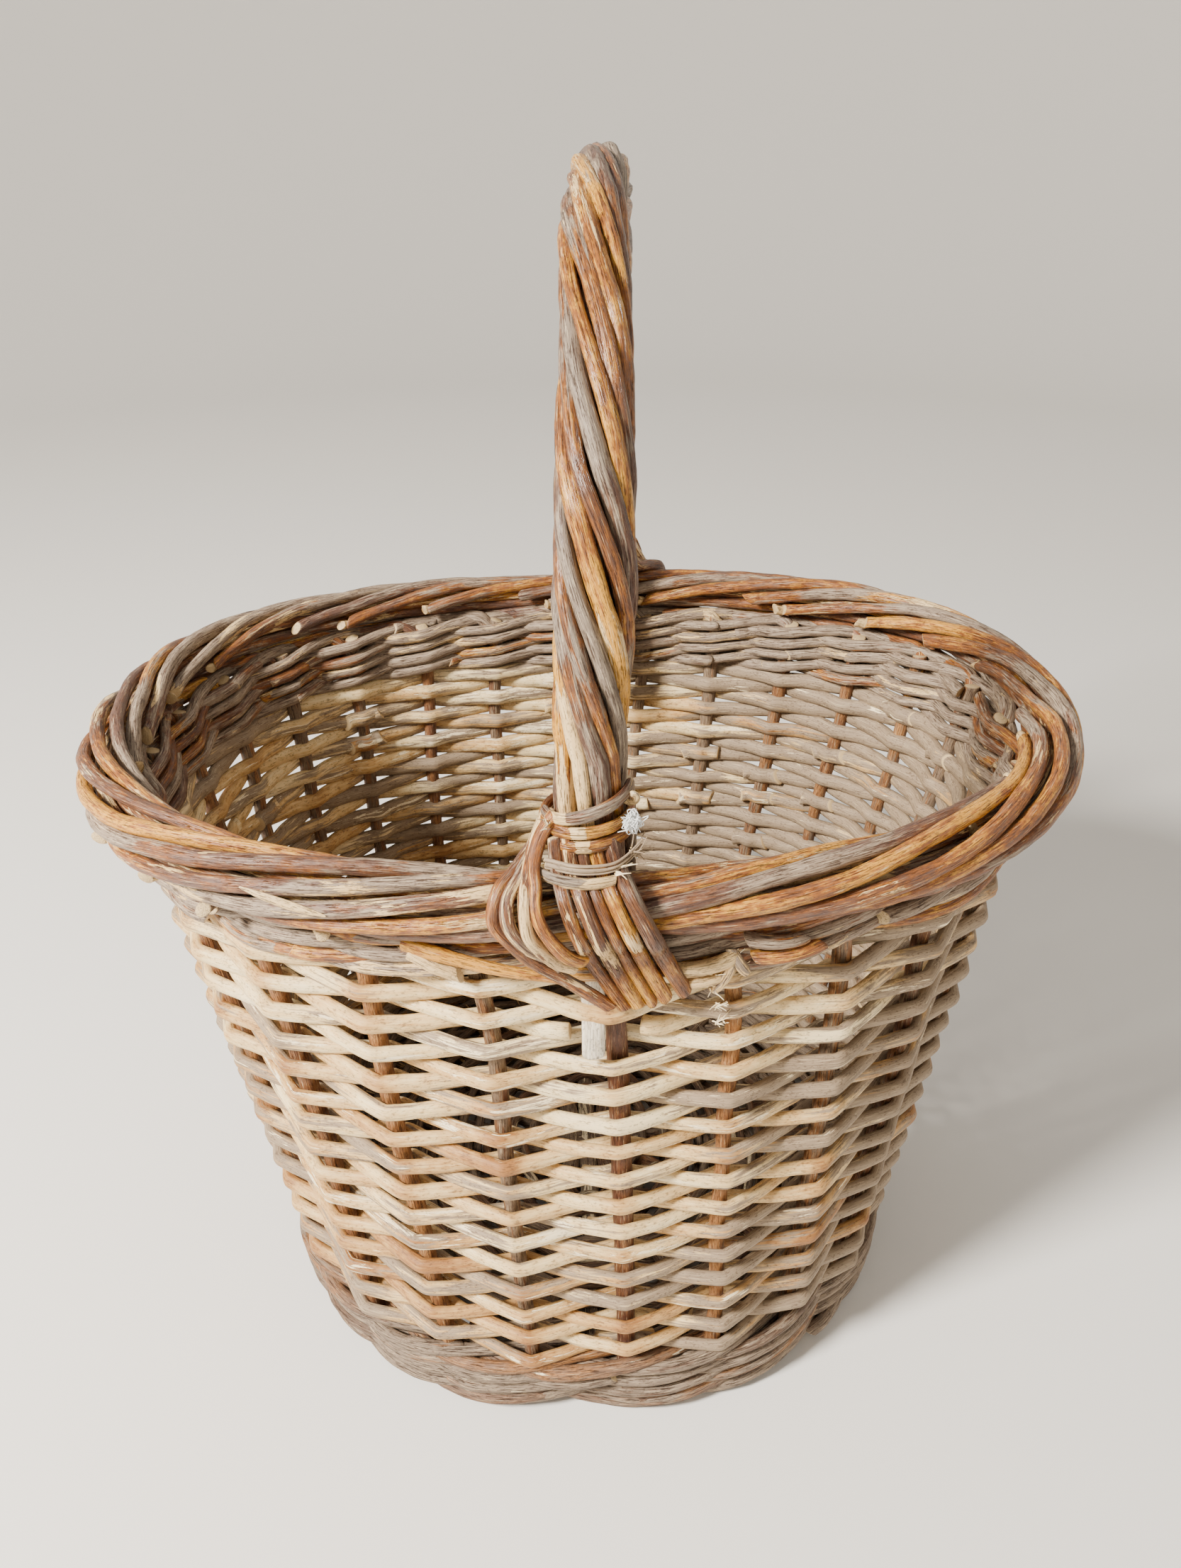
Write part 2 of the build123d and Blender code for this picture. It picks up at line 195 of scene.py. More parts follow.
def lengths_along(line):
    """The length of a line up to each of its points."""
    return np.concatenate([[0], np.cumsum(np.linalg.norm(np.diff(line, axis=0), axis=1))])


def smooth_path(points, spacing=1.6):
    """A smooth line through points, with its own points at even steps."""
    points = np.array(points, float)
    padded = np.concatenate([[2 * points[0] - points[1]], points, [2 * points[-1] - points[-2]]])
    pieces = []
    for index in range(len(points) - 1):
        a, b, c, d = padded[index:index + 4]
        t = np.linspace(0, 1, 24, endpoint=False)[:, None]
        curve = 2 * b + (c - a) * t + (2 * a - 5 * b + 4 * c - d) * t ** 2 + (3 * b - a - 3 * c + d) * t ** 3
        pieces.append(curve / 2)
    line = np.concatenate(pieces + [points[-1:]])
    run = lengths_along(line)
    count = max(3, int(round(run[-1] / spacing)) + 1)
    even = np.linspace(0, run[-1], count)
    return np.stack([np.interp(even, run, line[:, axis]) for axis in range(3)], -1)


# ---- rods ----
def unit(vectors):
    return vectors / np.linalg.norm(vectors, axis=-1, keepdims=True)


def band(first, second, sides):
    """The faces between two rings of points, each given by the number of its first point."""
    ring = np.arange(sides)
    after = (ring + 1) % sides
    return np.stack([first + ring, first + after, second + after, second + ring], -1)


class Rods:
    """Rods gathered into one mesh, each with its own tone and its own grain."""

    def __init__(self):
        self.points, self.grain, self.tone, self.faces = [], [], [], []
        self.count = 0

    def add(self, line, radius, tone, sides=12, flat=1.0, outward=None, knobbly=1.0, slant=(0.6, 0.6)):
        """A rod along a line in millimetres. tone is (hue, grey, bare), for the whole rod or for each point.
        flat is its thickness along outward, as a share of its width."""
        chance = fresh()
        count = len(line)
        ahead = unit(np.gradient(line, axis=0))
        if outward is None:
            side = np.empty_like(line)
            vector = np.cross(ahead[0], [0.31, 0.52, 0.79])
            for index, direction in enumerate(ahead):
                vector = vector - direction * (direction @ vector)
                vector /= math.sqrt(vector @ vector)
                side[index] = vector
        else:
            outward = np.broadcast_to(outward, line.shape)
            side = unit(outward - ahead * np.sum(outward * ahead, -1, keepdims=True))
        across = np.cross(ahead, side)
        run = lengths_along(line)
        theta = np.linspace(0, 2 * np.pi, sides, endpoint=False)
        swell = 1 + knobbly * (0.05 * wander(run, 16, chance) + 0.025 * wander(run, 4, chance))
        size = np.broadcast_to(radius, (count,)) * swell
        lobes = np.ones((count, sides))
        for order, depth in ((2, 0.045), (3, 0.03), (5, 0.018)):
            turn = chance.uniform(0, 6.28) + 1.2 * wander(run, 30, chance)
            lobes = lobes + knobbly * depth * np.cos(order * theta[None, :] + turn[:, None])
        reach = size[:, None] * lobes
        cosine, sine = np.cos(theta), np.sin(theta)
        skin = (
            line[:, None, :]
            + (reach * cosine)[..., None] * flat * side[:, None, :]
            + (reach * sine)[..., None] * across[:, None, :]
        )
        spacing = run[-1] / (count - 1)
        for end, amount in enumerate(slant):
            rings = min(count // 3, int(math.ceil(2.5 * amount * size[0] / spacing)) + 1)
            turn = chance.uniform(0, 2 * np.pi)
            for ring in range(rings):
                weight = ((rings - ring) / rings) ** 2
                index = ring if end == 0 else count - 1 - ring
                way = 1 if end == 0 else -1
                push = way * weight * amount * size[index] * (1 + np.cos(theta + turn)) / 2
                skin[index] += push[:, None] * ahead[index]
        grain = np.empty((count, sides, 3))
        grain[..., 0] = reach * cosine
        grain[..., 1] = reach * sine
        grain[..., 2] = run[:, None] + chance.uniform(0, 4000)
        tones = np.empty((count, sides, 4))
        tones[..., :3] = np.broadcast_to(np.array(tone, float).reshape(-1, 1, 3), (count, sides, 3))
        tones[..., 3] = 0
        self.points.append(skin.reshape(-1, 3))
        self.grain.append(grain.reshape(-1, 3))
        self.tone.append(tones.reshape(-1, 4))
        base = self.count
        rows = base + np.arange(count - 1)[:, None] * sides
        self.faces.append(band(rows, rows + sides, sides).reshape(-1, 4))
        self.count += count * sides
        for end in (0, 1):
            outward = ahead[-end] * (1 if end else -1)
            self._cap(skin[-end], grain[-end], tones[-end], outward, base, count, end)

    def _cap(self, edge, grain, tone, outward, base, count, end):
        """A cut end: a narrow worn edge, then the end grain."""
        sides = len(edge)
        centre = edge.mean(0)
        worn_share = 0.86
        shrunk = centre + (edge - centre) * worn_share + outward * 0.25
        middle = centre + outward * 0.35
        cut_tone = tone.copy()
        cut_tone[:, 3] = 1
        self.points += [shrunk, middle[None]]
        self.grain += [grain * [worn_share, worn_share, 1], grain.mean(0)[None]]
        self.tone += [cut_tone, cut_tone[:1]]
        outer = base + (count - 1) * sides * end
        inner = self.count
        tip = np.full(sides, inner + sides)
        first = inner + np.arange(sides)
        second = np.roll(first, -1)
        if end:
            self.faces += [band(outer, inner, sides), np.stack([first, second, tip, tip], -1)]
        else:
            self.faces += [band(inner, outer, sides), np.stack([second, first, tip, tip], -1)]
        self.count += sides + 1

    def build(self, name, material, slot, *nodes):
        """The mesh as one piece that stands for CAD nodes."""
        points = np.concatenate(self.points) * MM
        faces = np.concatenate(self.faces)
        pointed = faces[:, 2] == faces[:, 3]
        mesh = bpy.data.meshes.new(name)
        mesh.from_pydata(points, [], faces[~pointed].tolist() + faces[pointed, :3].tolist())
        mesh.validate()
        mesh.polygons.foreach_set("use_smooth", np.ones(len(mesh.polygons), bool))
        grain = mesh.attributes.new("grain", "FLOAT_VECTOR", "POINT")
        grain.data.foreach_set("vector", np.concatenate(self.grain).astype(np.float32).ravel())
        tone = mesh.attributes.new("tone", "FLOAT_COLOR", "POINT")
        tone.data.foreach_set("color", np.concatenate(self.tone).astype(np.float32).ravel())
        mesh.materials.append(material)
        piece = in_scene(name, mesh)
        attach(piece, "root")
        if nodes:
            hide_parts(*nodes)


# ---- materials ----
class Shader:
    """A few short calls for building a node material."""

    def __init__(self, name):
        self.material = bpy.data.materials.new(name)
        self.material.use_nodes = True
        self.tree = self.material.node_tree
        self.surface = self.tree.nodes["Principled BSDF"]

    def put(self, socket, value):
        if isinstance(value, bpy.types.NodeSocket):
            self.tree.links.new(value, socket)
        else:
            socket.default_value = value

    def node(self, kind, inputs, output=0, **settings):
        made = self.tree.nodes.new(kind)
        for key, value in settings.items():
            setattr(made, key, value)
        for key, value in inputs.items():
            self.put(made.inputs[key], value)
        return made.outputs[output]

    def attribute(self, name, output):
        return self.node("ShaderNodeAttribute", {}, output, attribute_name=name)

    def calc(self, operation, a, b=0.0):
        return self.node("ShaderNodeMath", {0: a, 1: b}, operation=operation)

    def times(self, a, b):
        return self.calc("MULTIPLY", a, b)

    def minus(self, a, b):
        return self.calc("SUBTRACT", a, b)

    def weighted(self, a, a_share, b, b_share):
        return self.calc("ADD", self.times(a, a_share), self.times(b, b_share))

    def threshold(self, start, tone, amount):
        """The level a noise has to pass, lower where the tone is stronger."""
        return self.minus(start, self.times(tone, amount))

    def stretched(self, vector, across, along, shift):
        kind = "ShaderNodeVectorMath"
        scaled = self.node(kind, {0: vector, 1: (across, across, along)}, operation="MULTIPLY")
        return self.node(kind, {0: scaled, 1: (shift, shift, shift)}, operation="ADD")

    def noise(self, vector, detail=3.0, rough=0.55, twist=0.0):
        inputs = {"Vector": vector, "Scale": 1.0, "Detail": detail, "Roughness": rough, "Distortion": twist}
        return self.node("ShaderNodeTexNoise", inputs)

    def between(self, value, low, high):
        """0 below low and 1 above high, smooth in between."""
        inputs = {"Value": value, "From Min": low, "From Max": high, "To Min": 0.0, "To Max": 1.0}
        return self.node("ShaderNodeMapRange", inputs, interpolation_type="SMOOTHSTEP")

    def ramp(self, value, shades):
        made = self.tree.nodes.new("ShaderNodeValToRGB")
        self.put(made.inputs[0], value)
        elements = made.color_ramp.elements
        while len(elements) < len(shades):
            elements.new(0.5)
        for index, shade in enumerate(shades):
            elements[index].position = index / (len(shades) - 1)
            elements[index].color = colour(*shade)
        return made.outputs[0]

    def mix(self, share, a, b, blend="MIX"):
        inputs = {0: share, 6: a, 7: b}
        return self.node("ShaderNodeMix", inputs, 2, data_type="RGBA", blend_type=blend)


def colour(red, green, blue):
    """A colour given in everyday 0 to 255 values."""
    parts = []
    for value in (red, green, blue):
        value /= 255
        parts.append(value / 12.92 if value <= 0.04045 else ((value + 0.055) / 1.055) ** 2.4)
    return (*parts, 1)


cream = colour(232, 206, 160)
end_grain = colour(226, 200, 152)
dark_crack = colour(62, 38, 26)


def willow(name, hues, greys, bares, gloss, crack_amount, grain_depth, drift_amount=1.2):
    """A willow rod: a hue along its length, worn through to grey and to bare wood in streaks."""
    s = Shader(name)
    place = s.attribute("grain", 1)
    tone = s.attribute("tone", 0)
    cut = s.attribute("tone", 3)
    split = s.tree.nodes.new("ShaderNodeSeparateColor")
    s.put(split.inputs[0], tone)
    hue, grey, bare = split.outputs[0], split.outputs[1], split.outputs[2]

    slow = s.noise(s.stretched(place, 0.05, 0.022, 3.1), 2.0)
    patch = s.noise(s.stretched(place, 0.30, 0.045, 11.7), 4.0, 0.62, 0.4)
    peel = s.noise(s.stretched(place, 0.42, 0.05, 37.0), 5.0, 0.6, 0.7)
    streak = s.noise(s.stretched(place, 1.1, 0.055, 5.3), 3.0, 0.6)
    fibre = s.noise(s.stretched(place, 2.6, 0.13, 17.9), 3.0, 0.65)
    speck = s.noise(s.stretched(place, 1.6, 0.8, 71.0), 2.0, 0.5)
    mottle = s.noise(s.stretched(place, 0.55, 0.22, 53.0), 3.0, 0.6)

    drift = s.times(s.minus(s.calc("ADD", slow, mottle), 1.0), drift_amount)
    fine_drift = s.times(s.minus(streak, 0.5), drift_amount)
    base = s.ramp(s.calc("ADD", s.calc("ADD", hue, drift), fine_drift), hues)

    grey_line = s.minus(s.weighted(patch, 0.6, streak, 0.4), s.threshold(0.78, grey, 0.56))
    grey_share = s.between(grey_line, -0.02, 0.07)
    weathered = s.mix(grey_share, base, s.ramp(fibre, greys))

    bare_line = s.minus(s.weighted(peel, 0.8, fibre, 0.2), s.threshold(0.80, bare, 0.60))
    bare_share = s.between(bare_line, 0.0, 0.025)
    worn = s.mix(bare_share, weathered, s.ramp(s.weighted(slow, 0.5, streak, 0.5), bares))

    crack = s.times(s.between(fibre, 0.45, 0.33), crack_amount)
    lined = s.mix(crack, worn, dark_crack)
    grime = s.times(s.between(s.calc("ADD", speck, s.times(mottle, 0.6)), 0.84, 1.02), 0.5)
    dirty = s.mix(grime, lined, dark_crack)
    light_fibre = s.times(s.between(fibre, 0.57, 0.70), 0.12 + 0.3 * crack_amount)
    fibrous = s.mix(light_fibre, dirty, cream)

    rings = s.noise(s.stretched(place, 2.6, 2.6, 2.0), 2.0)
    end_colour = s.mix(s.times(rings, 0.7), end_grain, colour(168, 132, 88))
    final = s.mix(cut, fibrous, end_colour)
    s.put(s.surface.inputs["Base Color"], final)

    rough = s.calc("ADD", 0.78 - gloss, s.times(grey_share, 0.5 * gloss))
    rough = s.calc("ADD", rough, s.times(s.minus(fibre, 0.5), 0.3))
    s.put(s.surface.inputs["Roughness"], rough)
    s.put(s.surface.inputs["Specular IOR Level"], 0.42)

    height = s.weighted(fibre, 0.5, streak, 0.5)
    height = s.minus(height, s.times(bare_share, 0.45))
    height = s.minus(height, s.times(crack, 0.8))
    bump = s.node("ShaderNodeBump", {"Strength": grain_depth, "Distance": 0.0006, "Height": height})
    s.put(s.surface.inputs["Normal"], bump)
    return s.material


# from one end of each range to the other, in everyday 0 to 255 values
bark_hues = [(100, 72, 60), (114, 72, 46), (148, 88, 38), (206, 146, 54)]
bark_greys = [(98, 78, 64), (144, 124, 104), (204, 192, 172)]
bark_bares = [(194, 146, 84), (220, 186, 132), (236, 214, 170)]
handle_hues = [(84, 58, 46), (104, 64, 38), (142, 86, 34), (200, 144, 52)]
handle_greys = [(84, 70, 60), (124, 108, 92), (188, 176, 156)]
pale_hues = [(242, 220, 172), (226, 194, 138), (198, 154, 94), (154, 104, 54)]
pale_greys = [(112, 92, 72), (148, 128, 104), (190, 172, 144)]
pale_bares = [(240, 218, 174), (248, 232, 196)]
grey_hues = [(104, 82, 66), (122, 92, 70), (144, 102, 66), (164, 110, 56)]
grey_greys = [(98, 82, 68), (130, 112, 94), (168, 150, 128)]
dark_hues = [(88, 54, 38), (116, 76, 48), (146, 100, 60), (172, 124, 76)]
dark_greys = [(92, 74, 58), (120, 100, 80), (148, 128, 104)]

bark = willow("bark_willow", bark_hues, bark_greys, bark_bares, 0.36, 0.8, 0.8, 1.5)
handle_bark = willow("handle_willow", handle_hues, handle_greys, bark_bares, 0.48, 0.85, 0.8, 1.4)
dark_bark = willow("dark_bark_willow", dark_hues, dark_greys, bark_bares, 0.26, 0.8, 0.8)
bare_willow = willow("bare_willow", pale_hues, pale_greys, pale_bares, 0.24, 0.22, 0.4, 0.7)
grey_willow = willow("grey_willow", grey_hues, grey_greys, pale_bares, 0.12, 0.85, 0.9)
peg_hues = [(206, 190, 164), (228, 216, 194), (242, 234, 218)]
pale_wood = willow("pale_wood", peg_hues, peg_hues, peg_hues, 0.12, 0.35, 0.8)


def blend(hue, grey, bare):
    """A tone for each point of a rod."""
    return np.clip(np.stack(np.broadcast_arrays(hue, grey, bare), -1), 0, 1)


# ---- side stakes ----
stakes = Rods()
stake_radius = 3.2
stake_low, stake_high = 14, 252
dark_stake = 0
for k in range(stake_count):
    chance = fresh()
    heights = np.linspace(stake_low, stake_high, 150)
    shift = 0.05 * wander(heights, 60, chance)
    sway = 0.5 * wander(heights, 30, chance)
    tone = [chance.uniform(low, high) for low, high in ((0.15, 0.8), (0.3, 0.7), (0.05, 0.3))]
    thick = stake_radius * chance.uniform(0.95, 1.08)
    if k == dark_stake:
        shift = 0.05 * (heights / 200)
        tone = (0.10, 0.05, 0.02)
        thick = 3.7
    stakes.add(wall(k + shift, heights, sway), thick, tone)
stakes.build("side_stakes_upright", dark_bark, "bark_willow", "side_stakes")

# ---- rows of side weave ----
gap_row = 25                # one row is cut away behind the front peg
gap_left, gap_right = -0.24, 0.22
dipped_row = 27             # one row sags under the handle
dip_depth, dip_width = 4.0, 13.0


def front_share(place):
    """1 at the front middle, 0 at the ends and the back."""
    return np.clip(np.cos(2 * np.pi * place / stake_count), 0, 1)


def weave_line(row, first, last, chance):
    """The middle line of a weaver from one place to another, with its ends tucked inside."""
    past_stake = np.array([0.0, 0.7, 1.5, 2.6, 4.0, 6.0, 8.5, 11.5, 15.0]) / stake_space
    steps = np.concatenate([past_stake, 1 - past_stake[:0:-1], [0.5]])
    place = (np.arange(math.floor(first), math.ceil(last))[:, None] + steps).ravel()
    inner_places = place[(place > first + 0.01) & (place < last - 0.01)]
    place = np.concatenate([[first], np.sort(inner_places), [last]])
    nearest = np.round(place)
    outside = (nearest.astype(int) + row) % 2 == 1
    soft = 0.8
    away = np.sqrt(((place - nearest) * stake_space) ** 2 + soft ** 2) - soft
    share = 1 - 2 * away / (stake_space - 2 * soft * 0.6)
    share = signed_power(share, 1.6 - 0.6 * front_share(place))
    swing = np.where(outside, 1, -1) * share
    swing = swing * weave_swing * (0.72 + 0.28 * front_share(place))
    swing = swing * (1 + 0.10 * wander(place, 3.3, chance))
    swing = np.where(swing < 0, swing * (0.74 + 0.2 * front_share(place)), swing)
    run = place * stake_space
    height = first_row_height + row * row_pitch
    height = height + 0.55 * wander(run, 60, chance) + 0.3 * wander(run, 14, chance)
    ends = np.minimum(place - first, last - place) * stake_space
    tuck = np.clip(1 - ends / 7.0, 0, 1) ** 1.5
    swing = swing - 2.4 * tuck
    height = height + tuck * np.where(place - first < last - place, 1.1, -1.1)
    if row == dipped_row:
        half = stake_count // 2
        from_front = (place + half) % stake_count - half
        height = height - dip_depth * near(from_front * stake_space, 0, dip_width)
    line = wall(place, height, swing)
    stain = np.clip(1 - away / 7.0, 0, 1) * np.where(outside, 1, 0.4)
    return line, place, stain


def row_tone(row, place, stain, chance):
    """Cream at the front, browner to the left and down, orange near the bends; greyer and darker to the
    right, partly grey rods and partly painted shade.
    """
    around = 2 * np.pi * place / stake_count
    # the right side is made greyer and darker: partly grey rods that stand there, partly painted shade of the
    # side turned away from the key light
    right_grey_and_shade = np.clip(np.sin(around), 0, 1)
    left = np.clip(-np.sin(around), 0, 1)
    run = place * stake_space
    down = 1 - row / (weaver_rows - 1)
    hue = chance.uniform(0.0, 0.45) + 0.22 * wander(run, 45, chance)
    hue = hue + 0.30 * left + 0.34 * right_grey_and_shade + 0.22 * down + stain * chance.uniform(0.05, 0.5)
    back = np.clip(-np.cos(around), 0, 1)
    grey = chance.uniform(0.1, 0.45) + 0.3 * wander(run, 60, chance)
    grey = grey + 0.6 * right_grey_and_shade + 0.2 * left + 0.15 * back + 0.15 * down
    bare = chance.uniform(0.2, 0.5) - 0.2 * right_grey_and_shade - 0.1 * left
    return blend(hue, grey, bare)


def around_gap(first, last):
    """The lengths of a rod that are left when the gap behind the peg is cut from it, on any lap."""
    spans = [(first, last)]
    for seam in (0, stake_count, 2 * stake_count):
        start, end = spans[-1]
        if start < seam + gap_left and end > seam + gap_right:
            spans[-1:] = [(start, seam + gap_left), (seam + gap_right, end)]
    return spans


def weave_rows(rows, name, node):
    piece = Rods()
    for row in rows:
        chance = fresh()
        half = stake_count // 2
        inside = (int(chance.integers(half)) * 2 + row) % stake_count
        other = inside + 2 * int(chance.integers(5, 9))
        for first, last in ((inside, other), (other, inside + stake_count)):
            span = (first - 0.30, last + 0.30)
            for start, end in around_gap(*span) if row == gap_row else [span]:
                line, place, stain = weave_line(row, start, end, chance)
                taper = 1 + 0.07 * np.linspace(-1, 1, len(line)) * chance.choice([-1, 1])
                radius = (3.75 - 0.6 * front_share(place)) * chance.uniform(0.94, 1.05) * taper
                outward = wall(place, line[:, 2], 30.0) - line
                outward[:, 2] = 0
                tones = row_tone(row, place, stain, chance)
                piece.add(line, radius, tones, flat=0.80, outward=outward, knobbly=0.8)
    piece.build(name, bare_willow, "bare_willow", node)


third = math.ceil(weaver_rows / 3)
weave_rows(range(third), "side_rows_low", "side_weave_lower")
weave_rows(range(third, 2 * third), "side_rows_middle", "side_weave_middle")
weave_rows(range(2 * third, weaver_rows), "side_rows_high", "side_weave_upper")


# ---- wales: three rods at a time, each passing outside two stakes and inside one ----
wale_inner = 4.6            # how far a wale rod stands inside a stake, and how much it rises and falls
wale_slope = 2.3


def wale_line(height, phase, first, last, outer, chance):
    count = int((last - first) * 16) + 2
    place = np.linspace(first, last, count)
    cycle = (place + phase) % 3
    from_inside = np.minimum(cycle, 3 - cycle)
    share = np.clip(from_inside / 1.5, 0, 1)
    swing = -wale_inner + (outer + wale_inner) * np.sin(share * np.pi / 2) ** 1.3
    run = place * stake_space
    level = height - wale_slope * np.sin(2 * np.pi * cycle / 3) + 0.6 * wander(run, 50, chance)
    ends = np.minimum(place - first, last - place) * stake_space
    tuck = np.clip(1 - ends / 9.0, 0, 1)
    return wall(place, np.maximum(level, 2.6), swing - 0.8 * tuck + 0.5 * wander(run, 30, chance)), place


def random_bark(chance, run, hue=(0.1, 0.9), grey=(0.2, 0.7), bare=(0.1, 0.5)):
    """A bark tone that changes slowly along a rod."""
    parts = []
    for low, high in (hue, grey, bare):
        middle = chance.uniform(low, high)
        parts.append(middle + 0.3 * (high - low) * wander(run, 45, chance))
    return blend(*parts)


def drifting(tone, run, amounts, spacings, chance):
    """A tone whose hue, grey and bare share each change slowly along a rod."""
    steps = zip(tone, amounts, spacings)
    return blend(*[middle + amount * wander(run, spacing, chance) for middle, amount, spacing in steps])


def wale(name, material, slot, nodes, bands, radius, outer, hue, grey, bare):
    """Bands of three rods, each rod made of lengths that overlap where one ends and the next starts."""
    piece = Rods()
    for band, height in enumerate(bands):
        for phase in range(3):
            chance = fresh()
            starts = phase * 2.6 + band * 1.7 - 5 + np.cumsum(chance.uniform(5.0, 8.5, 4)) - 5
            stops = np.append(starts[1:], starts[0] + stake_count)
            for first, last in zip(starts, stops):
                line, place = wale_line(height, phase, first - 0.25, last + 0.45, outer, chance)
                tones = random_bark(chance, place * stake_space, hue, grey, bare)
                weathered = 0.3 * np.clip(-np.cos(2 * np.pi * (place + 2) / stake_count), 0, 1)
                tones[:, 1] = np.clip(tones[:, 1] + weathered, 0, 1)
                thick = radius * chance.uniform(0.88, 1.12)
                piece.add(line, thick, tones, slant=(1.6, 1.6), knobbly=1.4)
    piece.build(name, material, slot, *nodes)


top_bands = (230.8, 237.0, 243.0, 249.0)
foot_bands = (6.2, 12.8, 19.2, 25.6)
wale("top_wale_rods", bark, "bark_willow", ["top_wale"], top_bands, 2.55, 6.6,
     (0.1, 0.8), (0.35, 0.85), (0.1, 0.45))
wale("foot_wale_rods", grey_willow, "grey_willow", ["foot_wale", "foot_ring"], foot_bands, 2.7, 6.2,
     (0.0, 0.8), (0.4, 0.95), (0.0, 0.3))

# ---- rolled rim: each stake turned down and carried once round the roll ----
roll_radius = 9.4
strand_spaces = 8.0         # a strand turns once round the roll in this many stakes
front_rim_tones = {         # the strands that show at the front, by the stake each one starts from
    17: (0.45, 0.30, 0.20), 18: (0.95, 0.10, 0.20), 19: (0.30, 0.55, 0.15), 20: (0.35, 0.50, 0.35),
    21: (0.35, 0.55, 0.42), 22: (0.80, 0.25, 0.35), 23: (0.05, 0.50, 0.10), 24: (0.98, 0.05, 0.15),
    25: (0.45, 0.35, 0.25), 0: (0.65, 0.25, 0.10), 1: (0.35, 0.50, 0.20), 2: (0.75, 0.20, 0.25),
}
rolls = [Rods(), Rods(), Rods()]
for k in range(stake_count):
    chance = fresh()
    along = np.linspace(0.25, 6.95 + chance.uniform(-0.35, 0.35), 170)
    run = along * stake_space
    around = 225 + 360 * along / strand_spaces + 7 * wander(run, 60, chance) + 3 * wander(run, 22, chance)
    radius = roll_radius + 0.7 * wander(run, 45, chance)
    body = rim(k + along, around, radius)
    start = np.concatenate([wall(k, [232.0, 240.0], 0.0), rim(k + 0.10, [238.0], [12.6])])
    knots = np.linspace(0, len(body) - 1, 29).astype(int)
    line = smooth_path(np.concatenate([start, body[knots]]), 1.5)
    run = np.arange(len(line)) * 1.5
    plain_tone = (chance.uniform(0.1, 0.7), chance.uniform(0.3, 0.75), chance.uniform(0.1, 0.4))
    tone = drifting(front_rim_tones.get(k, plain_tone), run, (0.25, 0.28, 0.22), (40, 55, 30), chance)
    thick = 3.0 * chance.uniform(0.9, 1.1) * np.linspace(1.04, 0.86, len(line))
    roll = rolls[k * len(rolls) // stake_count]
    roll.add(line, thick, tone, sides=14, knobbly=1.3, slant=(0.6, 1.8))
    if k % 3 != 1:
        inward = unit(rim(k + 6.9, 140, 20.0) - rim(k + 6.9, 140, 9.0))
        tip_way = unit(0.75 * unit(line[-1] - line[-4]) + 0.65 * inward)
        tip = line[-1] + tip_way * np.linspace(-2.5, 3.2, 6)[:, None]
        roll.add(tip, 2.2, (0.1, 0.1, 0.95), slant=(0.3, 1.4))
for index, roll in enumerate(rolls):
    nodes = ["rim_core_rods"] if index == 0 else []
    roll.build(f"rolled_rim_{index + 1}", bark, "bark_willow", "side_stakes", *nodes)

core = Rods()
for strand in range(3):
    chance = fresh()
    place = np.linspace(strand * 3, strand * 3 + stake_count, 560)
    line = rim(place, 120 * strand + 20 * wander(place * stake_space, 80, chance), 3.2)
    core.add(line, 2.7, random_bark(chance, place * stake_space), sides=8)
core.build("rim_core", bark, "bark_willow", "rim_core_rods")


# ---- handle ----
handle_foot_x = -1.7        # the front foot
handle_skew = 14.0          # how much further right the back foot stands
handle_bulge = 2.2          # the front half bulges to the right
handle_lift = 1.0
foot_length = 150           # for each unit of sine below the rim
arch_degrees = np.linspace(-4, 184, 700)


def arch(degrees):
    """The middle of the handle above its feet."""
    angle = np.radians(degrees)
    sine = np.clip(np.sin(angle), 0, None)
    y = -handle_half_span * np.cos(angle) - lean_forward
    z = rim_height + handle_lift + handle_rise * sine ** 0.8
    z = np.where(np.sin(angle) < 0, rim_height + handle_lift + np.sin(angle) * foot_length, z)
    bulge = handle_bulge * np.sin(angle * 2.0 + 0.5) ** 2 * np.sin(angle)
    x = handle_foot_x + handle_skew * (1 - np.cos(angle)) / 2 + bulge
    return np.stack([x, y, z], -1)


arch_line = arch(arch_degrees)
arch_run = lengths_along(arch_line)
arch_length = arch_run[-1]
arch_ahead = unit(np.gradient(arch_line, axis=0))
arch_out = unit(np.cross(np.array([1.0, 0, 0]), arch_ahead))
arch_side = np.cross(arch_ahead, arch_out)


def on_arch(run, around, radius):
    """A point beside the handle: around is 0 on +X and 90 degrees on its outside."""
    around = np.radians(around)
    middle, out, side = [
        np.stack([np.interp(run, arch_run, known[:, axis]) for axis in range(3)], -1)
        for known in (arch_line, arch_out, arch_side)
    ]
    return middle + (radius * np.cos(around))[:, None] * side + (radius * np.sin(around))[:, None] * out


# the radius of the handle at shares of its length
bundle_share = [0.0, 0.06, 0.12, 0.20, 0.30, 0.42, 0.50, 0.60, 0.75, 0.90, 1.0]
bundle_size = [12.0, 11.4, 11.2, 12.2, 10.8, 10.2, 9.4, 9.8, 10.6, 11.6, 12.0]
handle_tones = [
    (0.85, 0.12, 0.30), (0.55, 0.25, 0.35), (0.30, 0.45, 0.15), (0.65, 0.20, 0.20), (0.15, 0.55, 0.05),
    (0.50, 0.45, 0.15), (0.90, 0.15, 0.30), (0.25, 0.70, 0.10), (0.40, 0.25, 0.15), (0.10, 0.45, 0.08),
]
strand_count = len(handle_tones)
twist_run = [0, 60, 140, arch_length / 2, arch_length - 140, arch_length - 60, arch_length]
twist_rate = np.array([0.9, 2.3, 1.75, 1.75, 2.3, 0.9])     # degrees for each millimetre of a stretch
twist_turn = np.concatenate([[0], np.cumsum(twist_rate * np.diff(twist_run))])
bundles = [Rods(), Rods()]
